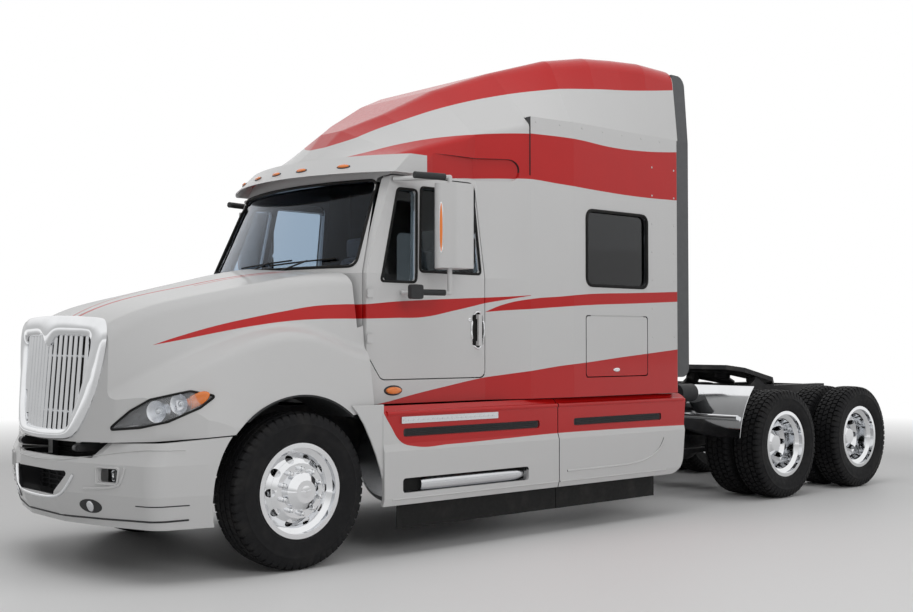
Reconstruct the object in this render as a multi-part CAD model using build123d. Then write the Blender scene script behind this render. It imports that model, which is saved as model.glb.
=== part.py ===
from build123d import *
from collections import namedtuple
from math import cos, radians, sin
import os

# A three axle road tractor with a long hood and a high roofed sleeper.
# +X is forward, +Y is the truck's left and +Z is up, in millimetres.
# The origin lies on the ground below the middle of the outer box.
# "Ahead" always counts from the front axle, "side" from the middle plane.

# Layout of the whole truck
FRONT_OVERHANG = 1270
AXLE_GAP = 5440
TANDEM_GAP = 1320
REAR_OVERHANG = 600
TYRE_RADIUS = 505
FRONT_TRACK_SIDE = 1032
DUAL_OUTER_SIDE = 1077
DUAL_INNER_SIDE = 747
KINGPIN_SIDE = 890
FRAME_TOP = 1010
FRAME_HALF_WIDTH = 432
SILL_HEIGHT = 1030
CAB_HALF_WIDTH = 1060
SLEEPER_HALF_WIDTH = 1215
COWL_AHEAD = -600
DOOR_REAR_AHEAD = -1700
FLARE_REAR_AHEAD = -2070
SLEEPER_REAR_AHEAD = -3800
ROOF_SEAM_HEIGHT = 3170
CAB_ROOF_HEIGHT = 2720

# Clearances and cutting allowances
PANEL_GAP = 8
SEAT_GAP = 0.3
BEARING_GAP = 0.3
OVERRUN = 40
REACH = 3000

AXLE_X = (AXLE_GAP + TANDEM_GAP + REAR_OVERHANG - FRONT_OVERHANG) / 2
FRONT_DRIVE_AHEAD = -AXLE_GAP
REAR_DRIVE_AHEAD = -AXLE_GAP - TANDEM_GAP
TANDEM_AHEAD = (FRONT_DRIVE_AHEAD + REAR_DRIVE_AHEAD) / 2
FRAME_REAR_AHEAD = REAR_DRIVE_AHEAD - REAR_OVERHANG
SIDES = {"left": 1, "right": -1}

os.makedirs("parts", exist_ok=True)


def at(ahead):
    """Place along the truck of a distance ahead of the front axle."""
    return AXLE_X + ahead


def save(name, pieces):
    """Write the solids of one sub-part."""
    solids = [solid for piece in pieces for solid in piece.solids()]
    export_step(Compound(solids), "parts/" + name + ".step")


def flip(shape):
    """The same piece on the other side of the truck."""
    return shape.mirror(Plane.XZ)


def pair(shape):
    """A left piece and its right twin."""
    return [shape, flip(shape)]


def block(aheads, sides, heights):
    """Box between pairs of places."""
    low = Vector(at(min(aheads)), min(sides), min(heights))
    high = Vector(at(max(aheads)), max(sides), max(heights))
    size = high - low
    return Pos(low + size / 2) * Box(size.X, size.Y, size.Z)


def rod(start, end, radius):
    """Round bar between two points."""
    run = Vector(*end) - Vector(*start)
    return Solid.make_cylinder(radius, run.length, Plane(origin=start, z_dir=run))


def pipe(start, end, radius, bore):
    """Round tube between two points."""
    return rod(start, end, radius) - rod(start, end, bore)


def point(ahead, side, height):
    """Point of the truck."""
    return (at(ahead), side, height)


def outline(points, radii=None):
    """Face inside a closed run of points, its corners rounded where asked."""
    if radii is None:
        return make_face(Polyline(*points, close=True))
    return make_face(FilletPolyline(*points, radius=radii, close=True))


def cross_plane(ahead):
    """Plane across the truck, its first axis to the left and its second up."""
    return Plane(origin=(at(ahead), 0, 0), x_dir=(0, 1, 0), z_dir=(1, 0, 0))


def plan_plane(height):
    """Level plane, its first axis ahead and its second to the left."""
    return Plane(origin=(AXLE_X, 0, height), x_dir=(1, 0, 0), z_dir=(0, 0, 1))


def side_plane(side):
    """Plane along the truck, its first axis ahead and its second up."""
    return Plane(origin=(AXLE_X, side, 0), x_dir=(1, 0, 0), z_dir=(0, -1, 0))


def side_prism(points, inner, outer, radii=None):
    """Outline seen from the side, solid between two distances from the middle."""
    face = side_plane(inner) * outline(points, radii)
    return extrude(face, amount=outer - inner, dir=(0, 1, 0))


def plan_prism(points, low, high, radii=None):
    """Outline seen from above, solid between two heights."""
    face = plan_plane(low) * outline(points, radii)
    return extrude(face, amount=high - low, dir=(0, 0, 1))


def cross_prism(points, rear, front, radii=None):
    """Outline seen from the front, solid between two distances ahead."""
    face = cross_plane(rear) * outline(points, radii)
    return extrude(face, amount=front - rear, dir=(1, 0, 0))


def grow(points, distance):
    """The same closed run of points with every edge moved outwards.

    The run goes anticlockwise; a negative distance moves the edges inwards.
    """
    grown = []
    for index, (u, v) in enumerate(points):
        last_u, last_v = points[index - 1]
        next_u, next_v = points[(index + 1) % len(points)]
        before = Vector(v - last_v, last_u - u).normalized()
        after = Vector(next_v - v, u - next_u).normalized()
        step = (before + after) * (distance / (1 + before.dot(after)))
        grown.append((u + step.X, v + step.Y))
    return grown


def round_body(profile, centre):
    """Body of revolution about an axle: (radius, side) outline at a centre."""
    ring = revolve(outline(profile), Axis.Y)
    return Pos(centre) * ring


# Frame: two channel rails joined by cross members
RAIL_HEIGHT = 270
RAIL_FLANGE = 89
RAIL_WALL = 8
RAIL_FRONT_AHEAD = 950
CROSSMEMBER_WALL = 10
CROSSMEMBER_DEPTH = 190
CROSSMEMBER_WIDTH = 90
FRONT_MEMBER_AHEAD = 860
GEARBOX_MEMBER_AHEAD = -1300
CAB_MEMBER_AHEAD = -2900
SLEEPER_MEMBER_AHEAD = -4300
DRIVE_MEMBER_SETOFF = 363
CROSSMEMBER_AHEADS = (
    FRONT_MEMBER_AHEAD,
    GEARBOX_MEMBER_AHEAD,
    CAB_MEMBER_AHEAD,
    SLEEPER_MEMBER_AHEAD,
    FRONT_DRIVE_AHEAD + DRIVE_MEMBER_SETOFF,
    TANDEM_AHEAD,
    REAR_DRIVE_AHEAD - DRIVE_MEMBER_SETOFF,
)
END_PLATE_WALL = 12
END_PLATE_SETIN = 60


def make_frame():
    """Ladder frame of two rails, the cross members and the rear end plate."""
    low = FRAME_TOP - RAIL_HEIGHT
    inner = FRAME_HALF_WIDTH - RAIL_FLANGE
    length = (FRAME_REAR_AHEAD, RAIL_FRONT_AHEAD)
    rail = block(length, (inner, FRAME_HALF_WIDTH), (low, FRAME_TOP))
    hollow_heights = (low + RAIL_WALL, FRAME_TOP - RAIL_WALL)
    rail -= block(length, (inner, FRAME_HALF_WIDTH - RAIL_WALL), hollow_heights)
    frame = rail + flip(rail)
    reach = FRAME_HALF_WIDTH - RAIL_WALL
    middle = FRAME_TOP - RAIL_HEIGHT / 2
    heights = (middle - CROSSMEMBER_DEPTH / 2, middle + CROSSMEMBER_DEPTH / 2)
    for ahead in CROSSMEMBER_AHEADS:
        rear = ahead - CROSSMEMBER_WIDTH
        member = block((rear, ahead), (-reach, reach), heights)
        hollow = (heights[0] + CROSSMEMBER_WALL, heights[1] - CROSSMEMBER_WALL)
        member -= block((rear, ahead - CROSSMEMBER_WALL), (-reach, reach), hollow)
        frame += member
    plate_rear = FRAME_REAR_AHEAD + END_PLATE_SETIN
    plate_aheads = (plate_rear, plate_rear + END_PLATE_WALL)
    frame += block(plate_aheads, (-reach, reach), hollow_heights)
    sides = (FRAME_HALF_WIDTH, FRAME_HALF_WIDTH + HOOD_BRACKET_WALL)
    pivot = (HOOD_PIVOT_AHEAD, HOOD_PIVOT_HEIGHT)
    bracket = block(
        (RAIL_FRONT_AHEAD - RAIL_FLANGE, HOOD_PIVOT_AHEAD),
        sides,
        (HOOD_PIVOT_HEIGHT - HOOD_PIVOT_RADIUS, HOOD_PIVOT_HEIGHT + HOOD_PIVOT_RADIUS),
    )
    ends = (point(pivot[0], sides[0], pivot[1]), point(pivot[0], sides[1], pivot[1]))
    bracket += rod(*ends, HOOD_PIVOT_RADIUS)
    bracket -= rod(*ends, HOOD_PIN_RADIUS + BEARING_GAP)
    frame += bracket + flip(bracket)
    save("frame_rails", [frame])


# Wheels and tyres
TYRE_BEAD_RADIUS = 290
TYRE_BEAD_HALF = 105
TYRE_WALL_RADIUS = 395
TYRE_HALF_WIDTH = 138
TYRE_SHOULDER_RADIUS = 486
TYRE_SHOULDER_HALF = 120
TYRE_CROWN_HALF = 60
TYRE_LINER_RADIUS = 470
TYRE_LINER_HALF = 100
TYRE_SIDE_WALL = 24
RIM_FLANGE_RADIUS = 306
RIM_FLANGE_WIDTH = 12
RIM_WELL_RADIUS = 250
RIM_WALL = 14
RIM_HALF_WIDTH = TYRE_BEAD_HALF + RIM_FLANGE_WIDTH + SEAT_GAP
DISC_WALL = 22
HAND_HOLE_CIRCLE = 210
HAND_HOLE_RADIUS = 27
HAND_HOLES = 10
HUB_RADIUS = 118
HUB_NOSE_RADIUS = 72
DRUM_RADIUS = 208
DRUM_DEPTH = 190
FRONT_DRUM_DEPTH = 125
DRUM_WALL = 14
DRUM_GAP = 12
SPINDLE_RADIUS = 45
FRONT_HUB_REACH = 70
DRIVE_HUB_REACH = 150
AXLE_END_RADIUS = 62
FRONT_DISC_SIDE = 88
BOWL_RADIUS = 176
BOWL_ROOT_SIDE = 40


def tyre(centre):
    """Hollow tyre with beads, bulged walls and a flat crown."""
    right = [
        (TYRE_BEAD_RADIUS, TYRE_BEAD_HALF),
        (RIM_FLANGE_RADIUS + SEAT_GAP, TYRE_BEAD_HALF),
        (TYRE_WALL_RADIUS, TYRE_HALF_WIDTH),
        (TYRE_SHOULDER_RADIUS, TYRE_SHOULDER_HALF),
        (TYRE_RADIUS, TYRE_CROWN_HALF),
    ]
    inside = [
        (TYRE_LINER_RADIUS, TYRE_LINER_HALF),
        (TYRE_WALL_RADIUS, TYRE_HALF_WIDTH - TYRE_SIDE_WALL),
        (TYRE_BEAD_RADIUS, TYRE_BEAD_HALF - TYRE_SIDE_WALL),
    ]
    outer = right + [(radius, -side) for radius, side in reversed(right)]
    inner = [(radius, -side) for radius, side in reversed(inside)] + inside
    return round_body(outer + inner, centre)


def rim_barrel():
    """Half outline of the barrel a tyre sits on, (radius, side) outwards."""
    seat = TYRE_BEAD_RADIUS - SEAT_GAP
    lip = RIM_HALF_WIDTH - RIM_FLANGE_WIDTH
    return [
        (RIM_WELL_RADIUS, TYRE_CROWN_HALF),
        (seat, lip - TYRE_SIDE_WALL),
        (seat, lip),
        (RIM_FLANGE_RADIUS, lip),
        (RIM_FLANGE_RADIUS, RIM_HALF_WIDTH),
        (seat - RIM_WALL, RIM_HALF_WIDTH),
        (seat - RIM_WALL, lip - TYRE_SIDE_WALL),
        (RIM_WELL_RADIUS - RIM_WALL, TYRE_CROWN_HALF),
    ]


def barrel(centre):
    """Drop centre barrel of one rim."""
    right = rim_barrel()
    top = right[:5]
    under = right[5:]
    left_top = [(radius, -side) for radius, side in reversed(top)]
    left_under = [(radius, -side) for radius, side in reversed(under)]
    return round_body(left_top + top + under + left_under, centre)


def disc(centre, side, root, hub):
    """Bowl shaped wheel disc inside the barrel, pierced by the round hand holes."""
    rim = RIM_WELL_RADIUS - RIM_WALL / 2
    bowl = [
        (hub, side),
        (BOWL_RADIUS, side),
        (rim, root),
        (rim, root + DISC_WALL),
        (BOWL_RADIUS, side + DISC_WALL),
        (hub, side + DISC_WALL),
    ]
    body = round_body(bowl, centre)
    middle = (side + root) / 2
    reach = abs(side - root) + DISC_WALL
    hole = rod((0, middle - reach, 0), (0, middle + reach, 0), HAND_HOLE_RADIUS)
    for index in range(HAND_HOLES):
        turn = Rot(Y=index * 360 / HAND_HOLES)
        body -= Pos(centre) * turn * Pos(HAND_HOLE_CIRCLE, 0, 0) * hole
    return body


def drum(centre, face_side, depth, bore):
    """Brake drum and hub behind a wheel disc, bored for its spindle."""
    open_side = face_side - depth
    points = [
        (bore, open_side),
        (HUB_RADIUS, open_side),
        (HUB_RADIUS, face_side - DRUM_WALL),
        (DRUM_RADIUS - DRUM_WALL, face_side - DRUM_WALL),
        (DRUM_RADIUS - DRUM_WALL, open_side),
        (DRUM_RADIUS, open_side),
        (DRUM_RADIUS, face_side),
        (bore, face_side),
    ]
    return round_body(points, centre)


def hub_nose(centre, face_side, reach, bore):
    """Hub end that stands out through the disc, closed by a domed cap."""
    tip = face_side + reach
    points = [
        (0, tip),
        (0, tip - DISC_WALL),
        (bore, tip - DISC_WALL),
        (bore, face_side),
        (HUB_RADIUS, face_side),
        (HUB_RADIUS, tip - HUB_NOSE_RADIUS / 2),
        (HUB_NOSE_RADIUS, tip),
    ]
    return round_body(points, centre)


def make_front_wheels():
    """Single front wheels, their discs near the outer flange."""
    bore = SPINDLE_RADIUS + BEARING_GAP
    for name, sign in SIDES.items():
        centre = (AXLE_X, 0, TYRE_RADIUS)
        place = Pos(0, FRONT_TRACK_SIDE, 0)
        rubber = place * tyre(centre)
        wheel = barrel(centre) + disc(centre, FRONT_DISC_SIDE, BOWL_ROOT_SIDE, bore)
        wheel += drum(centre, FRONT_DISC_SIDE, FRONT_DRUM_DEPTH, bore)
        wheel += hub_nose(centre, FRONT_DISC_SIDE + DISC_WALL, FRONT_HUB_REACH, bore)
        wheel = place * wheel
        if sign < 0:
            rubber = flip(rubber)
            wheel = flip(wheel)
        save("front_tyre_" + name, [rubber])
        save("front_rim_" + name, [wheel])


def make_drive_wheels():
    """Twin drive wheels, their discs bolted back to back between the tyres."""
    bore = AXLE_END_RADIUS + BEARING_GAP
    joint_side = (DUAL_OUTER_SIDE + DUAL_INNER_SIDE) / 2
    axles = {"front": FRONT_DRIVE_AHEAD, "rear": REAR_DRIVE_AHEAD}
    for axle, ahead in axles.items():
        centre = (at(ahead), 0, TYRE_RADIUS)
        outer = Pos(0, DUAL_OUTER_SIDE, 0)
        inner = Pos(0, DUAL_INNER_SIDE, 0)
        rubber = [outer * tyre(centre), inner * tyre(centre)]
        wheel = outer * barrel(centre) + inner * barrel(centre)
        wheel += outer * disc(centre, joint_side - DUAL_OUTER_SIDE, -BOWL_ROOT_SIDE - DISC_WALL, bore)
        wheel += inner * disc(centre, joint_side - DUAL_INNER_SIDE - DISC_WALL, BOWL_ROOT_SIDE, bore)
        wheel += drum(centre, joint_side - DISC_WALL, DRUM_DEPTH, bore)
        wheel += hub_nose(centre, joint_side + DISC_WALL, DRIVE_HUB_REACH, bore)
        for name, sign in SIDES.items():
            if sign > 0:
                save("drive_tyres_" + axle + "_" + name, rubber)
                save("drive_rims_" + axle + "_" + name, [wheel])
            else:
                save("drive_tyres_" + axle + "_" + name, [flip(each) for each in rubber])
                save("drive_rims_" + axle + "_" + name, [flip(wheel)])


# Front axle: forged beam, leaf springs and steering knuckles
BEAM_HEIGHT = 110
BEAM_WIDTH = 100
BEAM_WEB = 34
BEAM_FLANGE = 24
BEAM_DROP = 120
SPRING_SIDE = 388
SPRING_WIDTH = 88
SPRING_LEAF = 22
SPRING_FRONT_AHEAD = 800
SPRING_REAR_AHEAD = -780
SPRING_SAG = 90
KINGPIN_RADIUS = 24
KINGPIN_BOSS_RADIUS = 52
KINGPIN_BOSS_HEIGHT = 130
FORK_WALL = 34
FORK_REACH = 66
SPRING_EYE_RADIUS = 34


def make_front_axle():
    """Drop beam between the kingpins, with the two leaf springs on it."""
    boss = rod(
        point(0, KINGPIN_SIDE, TYRE_RADIUS - KINGPIN_BOSS_HEIGHT / 2),
        point(0, KINGPIN_SIDE, TYRE_RADIUS + KINGPIN_BOSS_HEIGHT / 2),
        KINGPIN_BOSS_RADIUS,
    )
    top = TYRE_RADIUS - BEAM_DROP + BEAM_HEIGHT / 2
    low = TYRE_RADIUS - BEAM_DROP - BEAM_HEIGHT / 2
    pad = SPRING_SIDE + SPRING_WIDTH / 2
    root = KINGPIN_SIDE - KINGPIN_BOSS_RADIUS / 2
    boss_low = TYRE_RADIUS - BEAM_HEIGHT / 2
    boss_top = TYRE_RADIUS + BEAM_HEIGHT / 2
    shape = [
        (-root, boss_low),
        (-pad, low),
        (pad, low),
        (root, boss_low),
        (root, boss_top),
        (pad, top),
        (-pad, top),
        (-root, boss_top),
    ]
    half = BEAM_WIDTH / 2
    beam = cross_prism(shape, -half, half)
    pocket = grow(shape, -BEAM_FLANGE)
    beam -= cross_prism(pocket, BEAM_WEB / 2, half + OVERRUN)
    beam -= cross_prism(pocket, -half - OVERRUN, -BEAM_WEB / 2)
    beam += boss + flip(boss)
    pin = KINGPIN_RADIUS + BEARING_GAP
    hole = rod(point(0, KINGPIN_SIDE, 0), point(0, KINGPIN_SIDE, FRAME_TOP), pin)
    beam -= hole
    beam -= flip(hole)
    eye_height = FRAME_TOP - RAIL_HEIGHT - SPRING_EYE_RADIUS
    arch_height = top + SPRING_LEAF * 2
    leaf = (
        (SPRING_REAR_AHEAD, eye_height),
        (SPRING_REAR_AHEAD / 2, eye_height - SPRING_SAG),
        (SPRING_REAR_AHEAD / 8, arch_height),
        (SPRING_FRONT_AHEAD / 8, arch_height),
        (SPRING_FRONT_AHEAD / 2, eye_height - SPRING_SAG),
        (SPRING_FRONT_AHEAD, eye_height),
    )
    upper = [(ahead, height) for ahead, height in leaf]
    lower = [(ahead, height - SPRING_LEAF) for ahead, height in leaf]
    strip = lower + upper[::-1]
    sides = (SPRING_SIDE - SPRING_WIDTH / 2, SPRING_SIDE + SPRING_WIDTH / 2)
    spring = side_prism(strip, *sides)
    helper_aheads = (SPRING_REAR_AHEAD / 8, SPRING_FRONT_AHEAD / 8)
    spring += block(helper_aheads, sides, (top, arch_height))
    for ahead in (SPRING_REAR_AHEAD, SPRING_FRONT_AHEAD):
        eye_middle = eye_height
        spring += rod(
            point(ahead, sides[0], eye_middle),
            point(ahead, sides[1], eye_middle),
            SPRING_EYE_RADIUS,
        )
    save("front_axle", [beam, *pair(spring)])


def make_knuckles():
    """Fork, kingpin, spindle and brake back plate that steer each front wheel."""
    boss_top = TYRE_RADIUS + KINGPIN_BOSS_HEIGHT / 2 + BEARING_GAP
    boss_low = TYRE_RADIUS - KINGPIN_BOSS_HEIGHT / 2 - BEARING_GAP
    root = KINGPIN_SIDE + FORK_REACH
    cheek_half = KINGPIN_BOSS_RADIUS
    upper = block((-cheek_half, cheek_half), (KINGPIN_SIDE, root), (boss_top, boss_top + FORK_WALL))
    lower = block((-cheek_half, cheek_half), (KINGPIN_SIDE, root), (boss_low - FORK_WALL, boss_low))
    upper += rod(
        point(0, KINGPIN_SIDE, boss_top), point(0, KINGPIN_SIDE, boss_top + FORK_WALL), cheek_half
    )
    lower += rod(
        point(0, KINGPIN_SIDE, boss_low - FORK_WALL), point(0, KINGPIN_SIDE, boss_low), cheek_half
    )
    pin = rod(
        point(0, KINGPIN_SIDE, boss_low - FORK_WALL),
        point(0, KINGPIN_SIDE, boss_top + FORK_WALL),
        KINGPIN_RADIUS,
    )
    back = block(
        (-cheek_half, cheek_half),
        (root - FORK_WALL / 4, root),
        (boss_low - FORK_WALL, boss_top + FORK_WALL),
    )
    disc_side = FRONT_TRACK_SIDE + FRONT_DISC_SIDE
    spindle_end = disc_side + FRONT_HUB_REACH - DISC_WALL
    spindle = rod(
        point(0, root - FORK_WALL / 4, TYRE_RADIUS), point(0, spindle_end, TYRE_RADIUS), SPINDLE_RADIUS
    )
    knuckle = upper + lower + pin + back + spindle
    for name, sign in SIDES.items():
        piece = knuckle if sign > 0 else flip(knuckle)
        save("knuckle_" + name, [piece])


# Drive axles: banjo housings, their rods and air springs
HOUSING_RADIUS = 72
BANJO_RADIUS = 225
BANJO_HALF = 130
BANJO_FACE_SHARE = 0.7
CARRIER_NOSE = 330
CARRIER_RADIUS = 95
AIR_SPRING_RADIUS = 125
AIR_SPRING_HEIGHT = 215
AIR_SPRING_SIDE = 388
ARM_WIDTH = 90
ARM_WALL = 40
ARM_LENGTH = 620
HANGER_WALL = 16
AIR_SPRING_BEHIND = 330


def make_drive_axles():
    """Two axle housings with their differential bowls and tube ends."""
    pieces = []
    joint_side = (DUAL_OUTER_SIDE + DUAL_INNER_SIDE) / 2
    tube_end = joint_side + DRIVE_HUB_REACH - OVERRUN
    for ahead in (FRONT_DRIVE_AHEAD, REAR_DRIVE_AHEAD):
        ends = (point(ahead, -tube_end, TYRE_RADIUS), point(ahead, tube_end, TYRE_RADIUS))
        housing = rod(*ends, AXLE_END_RADIUS)
        shoulder = joint_side - DISC_WALL - DRUM_DEPTH - DRUM_GAP
        housing += rod(
            point(ahead, -shoulder, TYRE_RADIUS), point(ahead, shoulder, TYRE_RADIUS), HOUSING_RADIUS
        )
        bowl = round_body(
            [
                (0, -BANJO_HALF),
                (BANJO_RADIUS * BANJO_FACE_SHARE, -BANJO_HALF),
                (BANJO_RADIUS, -BANJO_HALF / 3),
                (BANJO_RADIUS, BANJO_HALF / 3),
                (BANJO_RADIUS * BANJO_FACE_SHARE, BANJO_HALF),
                (0, BANJO_HALF),
            ],
            (at(ahead), 0, TYRE_RADIUS),
        )
        nose = rod(
            point(ahead, 0, TYRE_RADIUS), point(ahead + CARRIER_NOSE, 0, TYRE_RADIUS), CARRIER_RADIUS
        )
        pieces.append(housing + bowl + nose)
    save("drive_axles", pieces)


def make_drive_suspension():
    """Trailing arm, frame hanger and air spring at each end of each drive axle."""
    pieces = []
    arm_top = TYRE_RADIUS - HOUSING_RADIUS
    frame_low = FRAME_TOP - RAIL_HEIGHT
    sides = (AIR_SPRING_SIDE - ARM_WIDTH / 2, AIR_SPRING_SIDE + ARM_WIDTH / 2)
    for axle in (FRONT_DRIVE_AHEAD, REAR_DRIVE_AHEAD):
        rear = axle - AIR_SPRING_BEHIND
        shape = [
            (rear - AIR_SPRING_RADIUS, arm_top - ARM_WALL),
            (axle + ARM_LENGTH, arm_top - ARM_WALL),
            (axle + ARM_LENGTH, arm_top),
            (rear - AIR_SPRING_RADIUS, arm_top),
        ]
        arm = side_prism(shape, *sides)
        hanger = block(
            (axle + ARM_LENGTH - ARM_WIDTH, axle + ARM_LENGTH),
            (sides[0], sides[0] + HANGER_WALL),
            (arm_top, frame_low),
        )
        arm += hanger
        foot = frame_low - AIR_SPRING_HEIGHT
        pedestal = block((rear - ARM_WIDTH / 2, rear + ARM_WIDTH / 2), sides, (arm_top, foot))
        arm += pedestal
        saddle = block((axle - ARM_WIDTH, axle + ARM_WIDTH), sides, (arm_top, TYRE_RADIUS))
        tube = rod(
            point(axle, -REACH, TYRE_RADIUS), point(axle, REACH, TYRE_RADIUS), HOUSING_RADIUS + SEAT_GAP
        )
        arm += saddle - tube
        bag = rod(
            point(rear, AIR_SPRING_SIDE, foot + SEAT_GAP),
            point(rear, AIR_SPRING_SIDE, frame_low - SEAT_GAP),
            AIR_SPRING_RADIUS,
        )
        pieces += pair(arm) + pair(bag)
    save("drive_suspension", pieces)


# Engine, gearbox, propeller shafts and radiator
ENGINE_FRONT_AHEAD = 700
ENGINE_REAR_AHEAD = -300
ENGINE_HALF_WIDTH = 330
ENGINE_LOW = 750
ENGINE_TOP = 1600
SUMP_HALF_WIDTH = 200
SUMP_LOW = 560
ENGINE_MOUNT = 90
GEARBOX_REAR_AHEAD = -1180
GEARBOX_RADIUS = 215
GEARBOX_HEIGHT = 700
SHAFT_RADIUS = 55
YOKE_LENGTH = 90
RADIATOR_FRONT_AHEAD = 900
RADIATOR_WALL = 120
RADIATOR_HALF_WIDTH = 400
RADIATOR_LOW = 800
RADIATOR_TOP = 1480


def make_engine():
    """Plain block of the engine's weight, with its sump and side mounts."""
    engine = block(
        (ENGINE_REAR_AHEAD, ENGINE_FRONT_AHEAD),
        (-ENGINE_HALF_WIDTH, ENGINE_HALF_WIDTH),
        (ENGINE_LOW, ENGINE_TOP),
    )
    sump = block(
        (ENGINE_REAR_AHEAD, ENGINE_FRONT_AHEAD - ENGINE_MOUNT),
        (-SUMP_HALF_WIDTH, SUMP_HALF_WIDTH),
        (SUMP_LOW, ENGINE_LOW),
    )
    engine += sump
    ears = (FRAME_HALF_WIDTH - RAIL_FLANGE, FRAME_HALF_WIDTH)
    for ahead in (ENGINE_FRONT_AHEAD, ENGINE_REAR_AHEAD + ENGINE_MOUNT):
        aheads = (ahead - ENGINE_MOUNT, ahead)
        ear = block(aheads, (0, ears[1]), (FRAME_TOP + SEAT_GAP, FRAME_TOP + ENGINE_MOUNT))
        engine += ear + flip(ear)
    save("engine", [engine])


def make_driveline():
    """Gearbox behind the engine and the shafts to both drive axles."""
    case = rod(
        point(ENGINE_REAR_AHEAD - SEAT_GAP, 0, GEARBOX_HEIGHT),
        point(GEARBOX_REAR_AHEAD, 0, GEARBOX_HEIGHT),
        GEARBOX_RADIUS,
    )
    nose = FRONT_DRIVE_AHEAD + CARRIER_NOSE + SEAT_GAP
    rear_yoke = point(nose + YOKE_LENGTH, 0, TYRE_RADIUS)
    case += rod(point(GEARBOX_REAR_AHEAD, 0, GEARBOX_HEIGHT), rear_yoke, SHAFT_RADIUS)
    case += rod(point(nose, 0, TYRE_RADIUS), rear_yoke, SHAFT_RADIUS)
    link = rod(
        point(FRONT_DRIVE_AHEAD - BANJO_RADIUS - SEAT_GAP, 0, TYRE_RADIUS),
        point(REAR_DRIVE_AHEAD + CARRIER_NOSE + SEAT_GAP, 0, TYRE_RADIUS),
        SHAFT_RADIUS,
    )
    save("driveline", [case, link])


def make_radiator():
    """Radiator and its side tanks, standing on the front of the frame."""
    aheads = (RADIATOR_FRONT_AHEAD - RADIATOR_WALL, RADIATOR_FRONT_AHEAD)
    core = block(aheads, (-RADIATOR_HALF_WIDTH, RADIATOR_HALF_WIDTH), (FRAME_TOP + SEAT_GAP, RADIATOR_TOP))
    between = FRAME_HALF_WIDTH - RAIL_FLANGE - PANEL_GAP
    front = (RADIATOR_FRONT_AHEAD - RADIATOR_WALL / 3, RADIATOR_FRONT_AHEAD)
    core += block(front, (-between, between), (RADIATOR_LOW, FRAME_TOP + SEAT_GAP))
    save("radiator", [core])


# Tanks and boxes hung on the frame
FUEL_TANK_RADIUS = 305
FUEL_TANK_SIDE = 770
FUEL_TANK_HEIGHT = 620
FUEL_TANK_FRONT_AHEAD = -950
FUEL_TANK_REAR_AHEAD = -2400
FUEL_TANK_ROUND = 40
STRAP_WIDTH = 60
STRAP_WALL = 6
BOX_FRONT_AHEAD = -2600
BOX_REAR_AHEAD = -3400
BOX_LOW = 420
BOX_OUTER = 1080
BOX_ROUND = 30
AIR_TANK_RADIUS = 83
AIR_TANK_SIDE = 620
AIR_TANK_HEIGHT = 985
AIR_TANK_FRONT_AHEAD = -4530
AIR_TANK_REAR_AHEAD = -4755


def make_fuel_tanks():
    """Round fuel tank on each side, with two straps and the frame brackets."""
    pieces = []
    ends = (
        point(FUEL_TANK_REAR_AHEAD, FUEL_TANK_SIDE, FUEL_TANK_HEIGHT),
        point(FUEL_TANK_FRONT_AHEAD, FUEL_TANK_SIDE, FUEL_TANK_HEIGHT),
    )
    tank = rod(*ends, FUEL_TANK_RADIUS)
    tank = fillet(tank.edges().filter_by(GeomType.CIRCLE), FUEL_TANK_ROUND)
    length = FUEL_TANK_FRONT_AHEAD - FUEL_TANK_REAR_AHEAD
    for share in (0.2, 0.8):
        ahead = FUEL_TANK_REAR_AHEAD + length * share
        start = point(ahead - STRAP_WIDTH / 2, FUEL_TANK_SIDE, FUEL_TANK_HEIGHT)
        end = point(ahead + STRAP_WIDTH / 2, FUEL_TANK_SIDE, FUEL_TANK_HEIGHT)
        tank += pipe(start, end, FUEL_TANK_RADIUS + STRAP_WALL, FUEL_TANK_RADIUS)
        bracket = block(
            (ahead - STRAP_WIDTH / 2, ahead + STRAP_WIDTH / 2),
            (FRAME_HALF_WIDTH + SEAT_GAP, FUEL_TANK_SIDE),
            (FRAME_TOP - RAIL_HEIGHT, FRAME_TOP - RAIL_HEIGHT / 4),
        )
        bracket -= rod(
            point(FUEL_TANK_REAR_AHEAD, FUEL_TANK_SIDE, FUEL_TANK_HEIGHT),
            point(FUEL_TANK_FRONT_AHEAD, FUEL_TANK_SIDE, FUEL_TANK_HEIGHT),
            FUEL_TANK_RADIUS,
        )
        tank += bracket
    pieces += pair(tank)
    save("fuel_tanks", pieces)


def make_frame_boxes():
    """Battery and treatment boxes, and the cross mounted air tanks."""
    box = cross_prism(
        [
            (FRAME_HALF_WIDTH + SEAT_GAP, BOX_LOW),
            (BOX_OUTER, BOX_LOW),
            (BOX_OUTER, FRAME_TOP - RAIL_FLANGE),
            (FRAME_HALF_WIDTH + SEAT_GAP, FRAME_TOP - RAIL_FLANGE),
        ],
        BOX_REAR_AHEAD,
        BOX_FRONT_AHEAD,
        [0, BOX_ROUND, BOX_ROUND, 0],
    )
    tank = rod(
        point(AIR_TANK_REAR_AHEAD, AIR_TANK_SIDE, AIR_TANK_HEIGHT),
        point(AIR_TANK_FRONT_AHEAD, AIR_TANK_SIDE, AIR_TANK_HEIGHT),
        AIR_TANK_RADIUS,
    )
    middle = (AIR_TANK_FRONT_AHEAD + AIR_TANK_REAR_AHEAD) / 2
    cradle = block(
        (middle - STRAP_WIDTH / 2, middle + STRAP_WIDTH / 2),
        (FRAME_HALF_WIDTH + SEAT_GAP, AIR_TANK_SIDE),
        (FRAME_TOP - RAIL_FLANGE, FRAME_TOP),
    )
    save("frame_boxes", pair(box) + pair(tank + cradle))


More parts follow.
